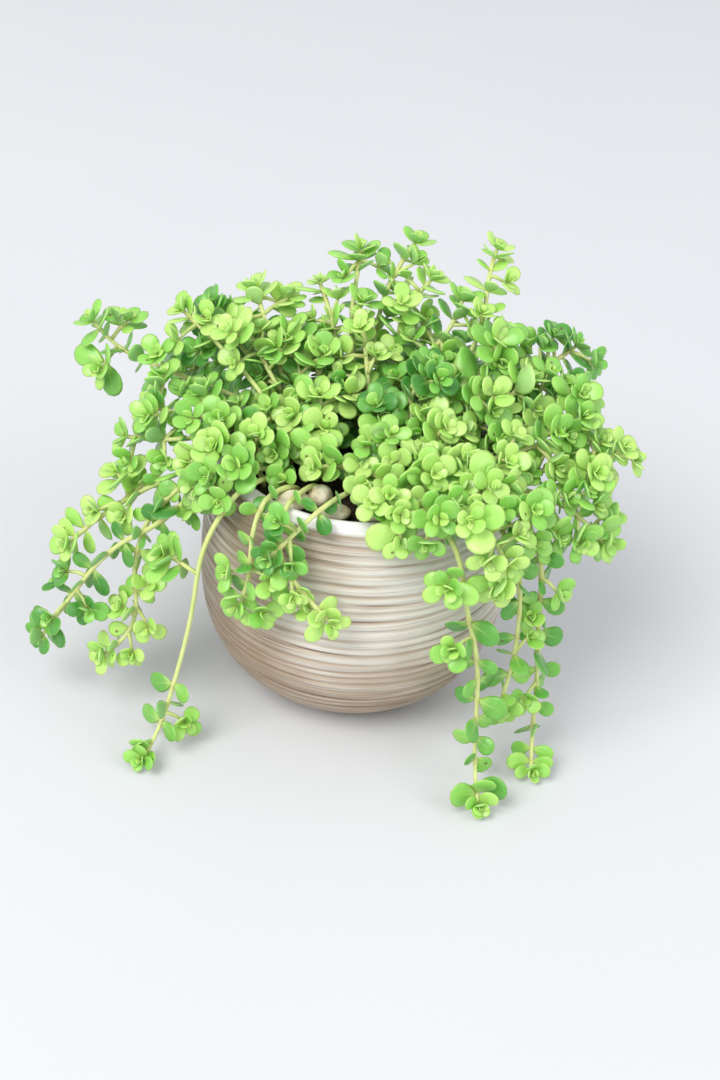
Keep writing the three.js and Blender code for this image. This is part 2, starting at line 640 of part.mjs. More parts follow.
// Stems and shoots first, then leaf after leaf, tips before lower joints.
const leaves = [];
const places = [];
lines.forEach((line, index) => {
  const { radius, owner } = line;
  const fine = line.points;
  const end = fine.length - 1;
  const points = fine.filter((p, i) => i < 2 || i === end || (i % 3 === 0 && i < end - 1));
  line.points = points;
  line.frames = framesAlong(points);
  line.lengthAt = points.map(() => 0);
  points.forEach((p, i) => {
    if (i > 0) line.lengthAt[i] = line.lengthAt[i - 1] + p.distanceTo(points[i - 1]);
  });
  line.body = tube(points, radius, line.parent ? SHOOT_SIDES : STEM_SIDES);
  const random = seeded(100 + index);
  leafPlaces(line, STEMS[owner], random).forEach((place) => places.push({ ...place, line }));
});

// A candidate is clear when, drawn a little larger, it meets no other stem and no leaf of another whorl.
function clearOfOthers(pose, { spot, line }) {
  const middle = middleOf(pose);
  const reach = pose.length * 0.62;
  let body = null;
  for (const leaf of leaves) {
    if (leaf.spot === spot || leaf.middle.distanceTo(middle) > reach + leaf.reach + LEAF_GAP) continue;
    body ??= solid(leafRoom(pose, LEAF_GAP));
    if (!body.intersect(leaf.body).isEmpty()) return false;
  }
  for (const other of lines) {
    if (other === line || other.parent === line) continue;
    if (!other.points.some((p) => p.distanceTo(middle) < reach + 3.5)) continue;
    body ??= solid(leafRoom(pose, LEAF_GAP));
    if (!body.intersect(other.body).isEmpty()) return false;
  }
  return true;
}

function middleOf(pose) {
  return pose.base.clone().addScaledVector(pose.forward, pose.length * 0.55);
}

places.sort((a, b) => a.rank - b.rank);
places.forEach((place) => {
  for (const [pitch, phase, scale] of TRIES) {
    const pose = leafPose(place.spot, place.phase + phase, place.pitch + pitch, place.length * scale);
    const geometry = leafRoom(pose, 0);
    if (!leafClearOfBowl(geometry) || !clearOfOthers(pose, place)) continue;
    const { spot, line } = place;
    const reach = pose.length * 0.62;
    leaves.push({ body: solid(geometry), middle: middleOf(pose), reach, pose, spot, line });
    break;
  }
});

const plant = new THREE.Group();
plant.name = "potted_isabella_peperomia";
plant.add(meshOf(makeBowl(), "bowl", "#e6dccb", 0.3));
plant.add(meshOf(makeSoil(rootSpots), "potting_soil", "#2c211a", 0.95));
PEBBLES.forEach((pebble, i) => {
  plant.add(meshOf(makePebble(pebble, i), pebble.name, pebble.beige ? "#b9967a" : "#ddd0b0", 0.7));
});
STEMS.forEach((stem, owner) => {
  const whorls = new Map();
  leaves.filter(({ line }) => line.owner === owner).forEach(({ pose, spot }) => {
    whorls.set(spot, [...(whorls.get(spot) ?? []), pose]);
  });
  const parts = lines.filter((line) => line.owner === owner).map(({ body }) => body);
  whorls.forEach((poses, spot) => parts.push(solid(whorlShape(poses, spot))));
  const body = largestPiece(Manifold.union(parts));
  plant.add(meshOf(body, `leafy_stem_${stem.name}`, TONES[stem.tone], 0.45));
});

export default plant;
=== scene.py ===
# %% [markdown]
# # A potted isabella peperomia
# A small round bowl holds a trailing plant. The bowl's glaze is cream over brown, and the comb that
# ran over it left about two dozen ribs. The plant has thin pale stems that carry rosettes and
# pairs of round, fleshy leaves, bright yellow-green at the tips and deeper green below.
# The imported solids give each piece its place. This script keeps that frame and models every piece
# again with finer form, and with materials that Blender works out for itself.

# %% Load the frame
import json
import math
from collections import namedtuple

import bmesh
import bpy
import numpy as np
from mathutils import Matrix, Vector, noise

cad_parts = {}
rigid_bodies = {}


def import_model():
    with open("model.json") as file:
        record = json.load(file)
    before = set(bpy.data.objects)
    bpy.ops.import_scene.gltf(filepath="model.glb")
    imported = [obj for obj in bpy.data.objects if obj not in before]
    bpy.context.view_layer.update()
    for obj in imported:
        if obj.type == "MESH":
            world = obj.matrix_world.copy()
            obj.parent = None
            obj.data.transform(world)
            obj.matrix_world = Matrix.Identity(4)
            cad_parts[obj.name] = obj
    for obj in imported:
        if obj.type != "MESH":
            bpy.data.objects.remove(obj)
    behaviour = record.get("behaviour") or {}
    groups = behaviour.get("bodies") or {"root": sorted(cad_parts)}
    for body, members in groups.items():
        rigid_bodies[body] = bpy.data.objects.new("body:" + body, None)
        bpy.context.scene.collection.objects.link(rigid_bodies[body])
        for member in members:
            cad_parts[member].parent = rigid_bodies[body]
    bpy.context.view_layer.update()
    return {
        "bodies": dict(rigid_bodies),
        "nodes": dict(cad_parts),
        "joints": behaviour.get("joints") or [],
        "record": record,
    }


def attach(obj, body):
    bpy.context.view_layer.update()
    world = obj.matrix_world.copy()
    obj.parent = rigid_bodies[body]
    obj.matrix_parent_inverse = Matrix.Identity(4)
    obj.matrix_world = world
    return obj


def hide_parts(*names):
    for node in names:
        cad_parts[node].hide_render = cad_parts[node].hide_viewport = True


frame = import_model()
MM = 0.001

# %% [markdown]
# ## Camera
# The plant is seen from a hand's height above it: the eye is about half a metre away, 35 degrees
# above the level, with the head leaning a little. A camera is a point and three directions, so the
# matrix is written from those three directions rather than from turned angles.

# %% Place the camera
EYE_DISTANCE = 0.52
EYE_RISE = math.radians(35.4)
EYE_LEAN = math.radians(4.1)
EYE_AIM = Vector((0, 0, 0.05))

towards_eye = Vector((0, -math.cos(EYE_RISE), math.sin(EYE_RISE)))
level = Vector((1, 0, 0))
upward = level.cross(-towards_eye)
camera_right = level * math.cos(EYE_LEAN) + upward * math.sin(EYE_LEAN)
camera_up = upward * math.cos(EYE_LEAN) - level * math.sin(EYE_LEAN)
camera_data = bpy.data.cameras.new("eye")
camera_data.lens = 53.5
camera_data.shift_x = 0.0037
camera_data.shift_y = -0.0044
camera_data.clip_start = 0.01
camera = bpy.data.objects.new("eye", camera_data)
camera.matrix_world = Matrix.LocRotScale(
    EYE_AIM + towards_eye * EYE_DISTANCE,
    Matrix((camera_right, camera_up, towards_eye)).transposed(),
    None,
)
bpy.context.collection.objects.link(camera)
bpy.context.scene.camera = camera
print("camera at", tuple(round(c, 3) for c in camera.location))

# %% [markdown]
# ## Light and floor
# The real plant hangs in flat, bright daylight with hardly a shadow. Two broad soft lamps and a
# pale surround give that. A harder lamp would bring out the ribs more, but it would also
# blacken the gaps among the leaves.

# %% Light the scene
def soft_lamp(name, place, size, power, colour):
    """A square lamp that looks at the middle of the plant."""
    data = bpy.data.lights.new(name, "AREA")
    data.shape = "SQUARE"
    data.size = size
    data.energy = power
    data.color = colour
    lamp = bpy.data.objects.new(name, data)
    lamp.location = place
    lamp.rotation_euler = (Vector((0, 0, 0.07)) - Vector(place)).to_track_quat("-Z", "Y").to_euler()
    bpy.context.collection.objects.link(lamp)
    return lamp


soft_lamp("window_left", (-1.1, -1.3, 2.1), 1.6, 54, (1.0, 0.99, 0.97))
soft_lamp("window_right", (1.9, -1.2, 1.5), 1.6, 18, (0.97, 0.98, 1.0))
surround = bpy.data.worlds.new("pale_surround")
surround.use_nodes = True
surround.node_tree.nodes["Background"].inputs["Color"].default_value = (0.955, 0.972, 1.0, 1)
surround.node_tree.nodes["Background"].inputs["Strength"].default_value = 0.72
bpy.context.scene.world = surround
bpy.context.scene.view_settings.view_transform = "Standard"
print("lamps:", [o.name for o in bpy.data.objects if o.type == "LIGHT"])

# %% [markdown]
# ## Materials as arithmetic
# A Blender material is a graph of small nodes. Drawn by hand, a sum of three masks takes a dozen
# clicks; written in Python it should read as a sum. `Signal` wraps one output socket and overloads
# the operators, so that `1 - mask * 0.5` adds its Math nodes by itself. Colours don't go through
# Math nodes, which would turn them grey, so they have a `mix` of their own.

# %% The shader helpers
class Signal:
    """One output socket of a material, ready for sums."""

    def __init__(self, finish, socket):
        self.finish = finish
        self.socket = socket

    def maths(self, operation, *terms):
        return self.finish.node("Math", {"operation": operation}, dict(enumerate(terms)))

    def __add__(self, other):
        return self.maths("ADD", self, other)

    def __sub__(self, other):
        return self.maths("SUBTRACT", self, other)

    def __rsub__(self, other):
        return self.maths("SUBTRACT", other, self)

    def __mul__(self, other):
        return self.maths("MULTIPLY", self, other)

    def __pow__(self, other):
        return self.maths("POWER", self, other)

    def __abs__(self):
        return self.maths("ABSOLUTE", self)

    __radd__ = __add__
    __rmul__ = __mul__


class Finish:
    """A material under construction: its tree, its Principled shader, and one way to add a node."""

    def __init__(self, name, **constants):
        self.material = bpy.data.materials.new(name)
        self.material.use_nodes = True
        self.tree = self.material.node_tree
        self.shader = self.tree.nodes["Principled BSDF"]
        for socket, value in constants.items():
            self.shader.inputs[socket.replace("_", " ")].default_value = value

    def node(self, kind, settings=None, values=None, output=0):
        made = self.tree.nodes.new("ShaderNode" + kind)
        for key, value in (settings or {}).items():
            setattr(made, key, value)
        for key, value in (values or {}).items():
            self.feed(made.inputs[key], value)
        return Signal(self, made.outputs[output])

    def feed(self, socket, value):
        if isinstance(value, Signal):
            self.tree.links.new(value.socket, socket)
        elif hasattr(value, "__len__") and len(value) == 3 and socket.type == "RGBA":
            socket.default_value = (*value, 1)
        else:
            socket.default_value = value

    def mix(self, share, first, second):
        """The first colour where share is 0, the second where it is 1."""
        return self.node("Mix", {"data_type": "RGBA"}, {0: share, 6: first, 7: second}, 2)

    def ramp(self, signal, low, high):
        """0 below low, 1 above high, and a smooth step between them."""
        return self.node("MapRange", {"interpolation_type": "SMOOTHSTEP"}, {0: signal, 1: low, 2: high})

    def attribute(self, name):
        return self.node("Attribute", {"attribute_name": name}, output="Fac")

    def place(self, stretch=(1, 1, 1)):
        """Where a point is on the object, in metres, with each direction stretched."""
        spot = self.node("TexCoord", output="Object")
        return self.node("Mapping", None, {"Vector": spot, "Scale": stretch})

    def grain(self, vector, scale, detail=3, roughness=0.5):
        values = {"Vector": vector, "Scale": scale, "Detail": detail, "Roughness": roughness}
        return self.node("TexNoise", None, values)

    def finish(self, colour, roughness, relief, depth):
        """Joins colour, roughness and relief to the shader; depth is the relief's height in metres."""
        self.feed(self.shader.inputs["Base Color"], colour)
        self.feed(self.shader.inputs["Roughness"], roughness)
        bump = self.node("Bump", None, {"Height": relief, "Distance": depth, "Strength": 1.0})
        self.feed(self.shader.inputs["Normal"], bump)
        return self.material


def shade(red, green, blue):
    """A colour given as 0 to 255, turned into the linear light that shaders use."""
    def linear(part):
        part /= 255
        return part / 12.92 if part <= 0.04045 else ((part + 0.055) / 1.055) ** 2.4
    return (linear(red), linear(green), linear(blue))


print("cream as linear light:", [round(c, 3) for c in shade(236, 229, 216)])

# %% The floor
floor_finish = Finish("pale_floor")
floor_mottle = floor_finish.grain(floor_finish.place(), 6, 2)
floor_colour = floor_finish.mix(floor_mottle, shade(212, 214, 217), shade(217, 218, 221))
floor_grit = floor_finish.grain(floor_finish.place(), 300)
floor_finish.finish(floor_colour, 0.8 + floor_mottle * 0.1, floor_grit, 0.00005)

bm = bmesh.new()
bmesh.ops.create_grid(bm, x_segments=1, y_segments=1, size=4)
bmesh.ops.translate(bm, verts=bm.verts, vec=(0, 0, -0.0004))
floor_mesh = bpy.data.meshes.new("floor")
bm.to_mesh(floor_mesh)
bm.free()
floor_mesh.materials.append(floor_finish.material)
floor = bpy.data.objects.new("floor", floor_mesh)
bpy.context.collection.objects.link(floor)
print("floor:", floor.name)

# %% [markdown]
# ## From bmesh to piece
# Every piece goes through the same door: the mesh is stored, smoothed by one level of subdivision
# unless its faces are fine enough already, and tied to the body that it moves with. The imported
# solids that it stands for are hidden.

# %% The door for finished pieces
def piece(bm, name, materials, slot, replaces=(), smooth=1):
    mesh = bpy.data.meshes.new(name)
    for face in bm.faces:
        face.smooth = True
    bm.to_mesh(mesh)
    bm.free()
    for material in materials:
        mesh.materials.append(material)
    made = bpy.data.objects.new(name, mesh)
    bpy.context.collection.objects.link(made)
    if smooth:
        rounding = made.modifiers.new("rounding", "SUBSURF")
        rounding.levels = smooth
        rounding.render_levels = smooth
    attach(made, "root")
    if replaces:
        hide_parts(*replaces)
    return made


def soft_step(value, low, high):
    share = min(max((value - low) / (high - low), 0), 1)
    return share * share * (3 - 2 * share)


# A repeatable stream of numbers between 0 and 1, the same one that places the solids.
def seeded(seed):
    state = seed & 0xFFFFFFFF

    def draw():
        nonlocal state
        state = (state + 0x6D2B79F5) & 0xFFFFFFFF
        t = state
        t = ((t ^ (t >> 15)) * (t | 1)) & 0xFFFFFFFF
        t ^= (t + ((t ^ (t >> 7)) * (t | 61) & 0xFFFFFFFF)) & 0xFFFFFFFF
        return ((t ^ (t >> 14)) & 0xFFFFFFFF) / 4294967296
    return draw


first_draws = seeded(100)
print("first draws:", [round(first_draws(), 4) for _ in range(3)])

# %% [markdown]
# ## The bowl
# The bowl was turned on a wheel: widest a little under half its height and closing in again
# towards a smooth white lip. A combing tool left ribs of uneven height, and the grooves between
# them hold a brown wash. A turned form is one profile spun about its axis. The ribs belong to the
# profile, and a small wave that changes round the bowl keeps them from looking machined.

# %% The bowl's profile
BOWL_HEIGHT = 85
BELLY_RADIUS = 50
BELLY_HEIGHT = 41.8
LIP_RADIUS = 44.5
LOWER_DEPTH = 47.3
LOWER_POWER = 2.38
WALL = 3.4
DEEP_GROOVES = [8, 14.5, 20, 27.5, 33, 40.5, 46, 53, 58.5, 65, 71.5, 77.5]
SHALLOW_GROOVES = [4.2, 11, 17.4, 24, 30.4, 36.4, 43.2, 49.8, 55.8, 61.6, 68.6, 74.2, 80.6]
DEEP = 1.0
SHALLOW = 0.6
GROOVE_WIDTH = 0.62
PROFILE_STEP = 0.5
BOWL_STEPS = 96


def bowl_radius(z):
    if z < BELLY_HEIGHT:
        depth = (BELLY_HEIGHT - z) / LOWER_DEPTH
        return BELLY_RADIUS * (1 - depth ** LOWER_POWER) ** (1 / LOWER_POWER)
    rise = (z - BELLY_HEIGHT) / (BOWL_HEIGHT - BELLY_HEIGHT)
    return BELLY_RADIUS - (BELLY_RADIUS - LIP_RADIUS) * rise * rise


def inner_radius(z):
    return bowl_radius(z) - WALL


def groove_at(z):
    """How deep the comb cut at a height, in millimetres."""
    cut = 0
    for depth, heights in ((DEEP, DEEP_GROOVES), (SHALLOW, SHALLOW_GROOVES)):
        for height in heights:
            cut += depth * math.exp(-(((z - height) / GROOVE_WIDTH) ** 2))
    return cut


outside = [(0, 0), (bowl_radius(0) - 6, 0), (bowl_radius(0) - 1.2, 0), (bowl_radius(0.7), 0.7)]
for i in range(round(81.5 / PROFILE_STEP)):
    z = 1.4 + i * PROFILE_STEP
    outside.append((bowl_radius(z) - groove_at(z), z))
lip = [(LIP_RADIUS + r, z) for r, z in
       ((0.1, 83.2), (-0.2, 84.2), (-0.9, 84.9), (-1.9, 85), (-2.8, 84.5), (-3.2, 83.4))]
inside = [(inner_radius(z), z) for z in (81, 76, 68, 58, 48, 36, 24, 14)]
bottom = [(inner_radius(9) - 2, 8), (inner_radius(6) - 8, 5.4), (10, 5), (0, 5)]
print("profile points:", len(outside + lip + inside + bottom))

# %% Spin the bowl
def spun(profile, steps):
    """A closed turned form from a profile of (radius, height) in millimetres."""
    bm = bmesh.new()
    ring = [bm.verts.new((radius * MM, 0, height * MM)) for radius, height in profile]
    for a, b in zip(ring, ring[1:]):
        bm.edges.new((a, b))
    bmesh.ops.spin(bm, geom=bm.verts[:] + bm.edges[:], axis=(0, 0, 1), cent=(0, 0, 0),
                   angle=2 * math.pi, steps=steps, use_merge=True)
    bmesh.ops.remove_doubles(bm, verts=bm.verts, dist=1e-6)
    bmesh.ops.recalc_face_normals(bm, faces=bm.faces)
    return bm


bm = spun(outside + lip + inside + bottom, BOWL_STEPS)
groove_layer = bm.verts.layers.float.new("groove")
for vert in bm.verts:
    x, y, z = (c / MM for c in vert.co)
    reach = math.hypot(x, y)
    on_wall = reach > inner_radius(min(z, 84)) + 1.4 and 1.2 < z < 82.4
    if on_wall:
        turn = math.atan2(y, x)
        wave = noise.noise(Vector((x * 0.03, y * 0.03, z * 0.09)))
        lift = 0.75 * wave * soft_step(z, 2, 9) * (1 - soft_step(z, 76, 82))
        strength = 0.72 + 0.65 * noise.noise(Vector((x * 0.045 + 7, y * 0.045, z * 0.22)))
        height = z + lift
        radius = bowl_radius(height) - groove_at(z) * strength
        vert.co = Vector((math.cos(turn) * radius, math.sin(turn) * radius, height)) * MM
        vert[groove_layer] = min(groove_at(z) * strength / DEEP, 1)
print("bowl faces:", len(bm.faces))

# %% [markdown]
# ## The glaze
# The glaze is a cream white that broke over the ribs: it stays white on the crests and thins to
# taupe and brown in the grooves. A clouded brown wash lies over it, laid on more low down and at
# the right edge, and more on the left, where it is painted shade. Streaks run round the bowl, so
# the noise is stretched: almost nothing changes along the wall, and much changes from rib to rib.
# The lip is dipped in plain white.

# %% Mix the glaze
glaze = Finish("marbled_glaze", Coat_Weight=0.25, Coat_Roughness=0.12, IOR=1.5)
around = glaze.place((16, 16, 520))
fine_streaks = glaze.grain(around, 1.0, 4, 0.62)
broad_streaks = glaze.grain(glaze.place((7, 7, 150)), 1.0, 3, 0.55)
thread_streaks = glaze.grain(glaze.place((30, 30, 1900)), 1.0, 2, 0.6)
clouds = glaze.grain(glaze.place(), 26, 2)
spot = glaze.node("TexCoord", output="Object")
parts = glaze.node("SeparateXYZ", None, {0: spot}).socket.node
across, depth, height = (Signal(glaze, parts.outputs[k]) for k in range(3))
groove = glaze.attribute("groove")

# Painted shade: the wash is browner on the left of the bowl; it is also heavier low down and at the
# right edge.
left_shade = glaze.ramp(across * -1, -0.012, 0.046)
rightward = glaze.ramp(across, 0.03, 0.05)
low_down = 1 - glaze.ramp(height, 0.0, 0.05)
wash_and_shade = glaze.ramp(clouds * 0.7 + left_shade * 0.3 + low_down * 0.34 + rightward * 0.14, 0.3, 0.8)
streaks = fine_streaks * 0.55 + broad_streaks * 0.45
tan_share = glaze.ramp(streaks * 0.85 + groove * 0.34 + wash_and_shade * 0.2, 0.44, 0.68)
line_share = glaze.ramp(groove * 0.55 + thread_streaks * 0.5, 0.6, 0.8)
thread_share = glaze.ramp(thread_streaks + wash_and_shade * 0.1, 0.55, 0.66)
lip_share = glaze.ramp(height, 0.0812, 0.0828)

# The wash, with its painted shade on the left, turns the cream towards tan and deepens the taupe and
# threads.
glaze_colour = glaze.mix(wash_and_shade * 0.8, shade(222, 218, 208), shade(194, 178, 158))
taupe = glaze.mix(wash_and_shade, shade(186, 166, 144), shade(158, 134, 110))
glaze_colour = glaze.mix(tan_share * 0.8, glaze_colour, taupe)
glaze_colour = glaze.mix(thread_share * (0.28 + wash_and_shade * 0.35), glaze_colour, shade(128, 102, 82))
glaze_colour = glaze.mix(line_share * 0.8, glaze_colour, shade(104, 78, 60))
glaze_colour = glaze.mix(lip_share * 0.9, glaze_colour, shade(243, 243, 241))
glaze_relief = fine_streaks * 0.5 + thread_streaks * 0.5
glaze.finish(glaze_colour, 0.34 + streaks * 0.22, glaze_relief * (1 - lip_share * 0.8), 0.0004)

bowl = piece(bm, "glazed_bowl", [glaze.material], "glaze", ["bowl"])
print("bowl:", bowl.name, len(bowl.data.vertices), "corners")

# %% [markdown]
# ## Soil and pebbles
# Dark soil fills the bowl to a little under the lip, with a few cream pebbles pressed into it at
# the front. The soil is another spun profile whose top is pushed up and down by noise, and small
# crumbs are strewn over it by a seeded draw, each sunk into the surface that carries it.

# %% Heap the soil
SOIL_TOP = 79.5
FIT = 0.3
FLOOR_THICKNESS = 5
CRUMBS = 420
Pebble = namedtuple("Pebble", "name at size turn beige")
PEBBLES = [
    Pebble("pebble_front_left", (-19.5, -32), (4.6, 3.4, 2.6), 0.4, False),
    Pebble("pebble_front_round", (-11.5, -28.5), (3.3, 3.1, 2.9), 0, False),
    Pebble("pebble_front_long", (-6.5, -36), (4.1, 2.7, 2.2), 0.1, False),
    Pebble("pebble_front_right", (4.5, -35.5), (4.2, 3, 2.3), -0.2, False),
    Pebble("pebble_middle_beige", (-19.5, 2), (3.9, 3.2, 2.4), 0.8, True),
]


def soil_height(x, y):
    broad = noise.noise(Vector((x * 0.16, y * 0.16, 3)))
    fine = noise.noise(Vector((x * 0.5, y * 0.5, 9)))
    return SOIL_TOP + 0.2 + 0.85 * (broad + 0.5 * fine)


rim = inner_radius(79) - FIT - 0.2
soil_profile = [(0, SOIL_TOP)] + [(r, SOIL_TOP) for r in np.linspace(1.6, rim - 0.8, 24)]
soil_profile += [(rim, 78), *((inner_radius(z) - 0.6, z) for z in (60, 30)), (inner_radius(14) - 1, 14)]
soil_profile += [(inner_radius(6) - 9, FLOOR_THICKNESS + 0.9), (0, FLOOR_THICKNESS + 0.6)]
bm = spun(soil_profile, 72)
for vert in bm.verts:
    if vert.co.z > 0.0785:
        vert.co.z = soil_height(vert.co.x / MM, vert.co.y / MM) * MM
draw = seeded(77)
for _ in range(CRUMBS):
    reach, turn, size = 40 * math.sqrt(draw()), 2 * math.pi * draw(), 0.45 + 0.75 * draw() ** 2
    x, y = reach * math.cos(turn), reach * math.sin(turn)
    if any(math.hypot(x - p.at[0], y - p.at[1]) < p.size[0] + size for p in PEBBLES):
        continue
    seat = Vector((x, y, soil_height(x, y) + 0.15 * size)) * MM
    grow = Matrix.LocRotScale(seat, Matrix.Rotation(6 * draw(), 3, (draw(), 1, draw())),
                              Vector((1.2, 0.8 + 0.3 * draw(), 0.8)) * size * MM)
    bmesh.ops.create_cube(bm, size=1.9, matrix=grow)
print("soil faces:", len(bm.faces))

# %% Mix the soil
earth = Finish("dark_earth")
lumps = earth.grain(earth.place(), 420, 4, 0.65)
patches = earth.grain(earth.place(), 90, 2)
earth_colour = earth.mix(earth.ramp(lumps, 0.35, 0.7), shade(24, 18, 14), shade(72, 54, 40))
earth_colour = earth.mix(earth.ramp(patches, 0.55, 0.75) * 0.5, earth_colour, shade(98, 78, 58))
earth.finish(earth_colour, 0.85 + lumps * 0.15, lumps, 0.0009)
soil = piece(bm, "soil_and_crumbs", [earth.material], "soil", ["potting_soil"])
print("soil:", soil.name)

# %% Shape the pebbles
def pebble_stone(beige):
    stone = Finish("beige_stone" if beige else "cream_stone", Specular_IOR_Level=0.35)
    blotches = stone.grain(stone.place(), 260, 4, 0.6)
    specks = stone.grain(stone.place(), 1500, 2)
    light = shade(196, 164, 138) if beige else shade(243, 235, 212)
    dark = shade(150, 120, 98) if beige else shade(196, 178, 142)
    colour = stone.mix(stone.ramp(blotches, 0.35, 0.7), light, dark)
    colour = stone.mix(stone.ramp(specks, 0.62, 0.72) * 0.5, colour, shade(120, 100, 78))
    stone.finish(colour, 0.55 + specks * 0.25, blotches * 0.7 + specks * 0.3, 0.0005)
    return stone.material


PROUD = 2.6
PEBBLE_GROWTH = 1.15
cream_stone, beige_stone = pebble_stone(False), pebble_stone(True)
for index, pebble in enumerate(PEBBLES):
    bm = bmesh.new()
    bmesh.ops.create_icosphere(bm, subdivisions=3, radius=1)
    for vert in bm.verts:
        dent = noise.noise(vert.co * 0.9 + Vector((index * 5, 0, 0)))
        chip = noise.noise(vert.co * 2.2 + Vector((0, index * 5, 0)))
        vert.co *= 1.0 + 0.13 * dent + 0.05 * chip
    centre = Vector((*pebble.at, SOIL_TOP + FIT + pebble.size[2] * 0.45 + PROUD))
    size = Vector(pebble.size) * PEBBLE_GROWTH * MM
    shape = Matrix.LocRotScale(centre * MM, Matrix.Rotation(pebble.turn, 3, "Z"), size)
    bmesh.ops.transform(bm, matrix=shape, verts=bm.verts)
    stone = piece(bm, "stone" + pebble.name[6:], [beige_stone if pebble.beige else cream_stone],
                  "pebble_beige" if pebble.beige else "pebble_cream", [pebble.name])
    print(stone.name, "faces", len(stone.data.polygons))

# %% [markdown]
# ## Where the stems run
# Each leafy stem is a line through a few points picked from the real plant. It comes up out
# of the soil, perhaps crosses the lip, and hangs or stands as its points say. Side shoots leave it
# near their tips. All lines are then settled together: samples that come too close push each other
# apart, which bends the stems round one another as they grow in life.
# The first list of shoots is in the imported solids as well; the second is added here.

# %% The stems
STEM_RADIUS = 0.8
SHOOT_RADIUS = 0.65
ROOT_DEPTH = 74
ROOT_REACH = 33
ROOT_SPACING = 6.2
ROOT_PASSES = 300
COLLAR = 82.6
FINE_STEP = 3
STEM_CLEARANCE = 3.1
SETTLE_PASSES = 40
BEND_PASSES = 6
LATE_PASSES = 24
# So many samples are compared with all others at a time.
BLOCK = 400
SHOOT_GAP = 6
SIDE_STEP = 6.4
SIDE_TURN = 2.4
SIDE_BARE = 0.4
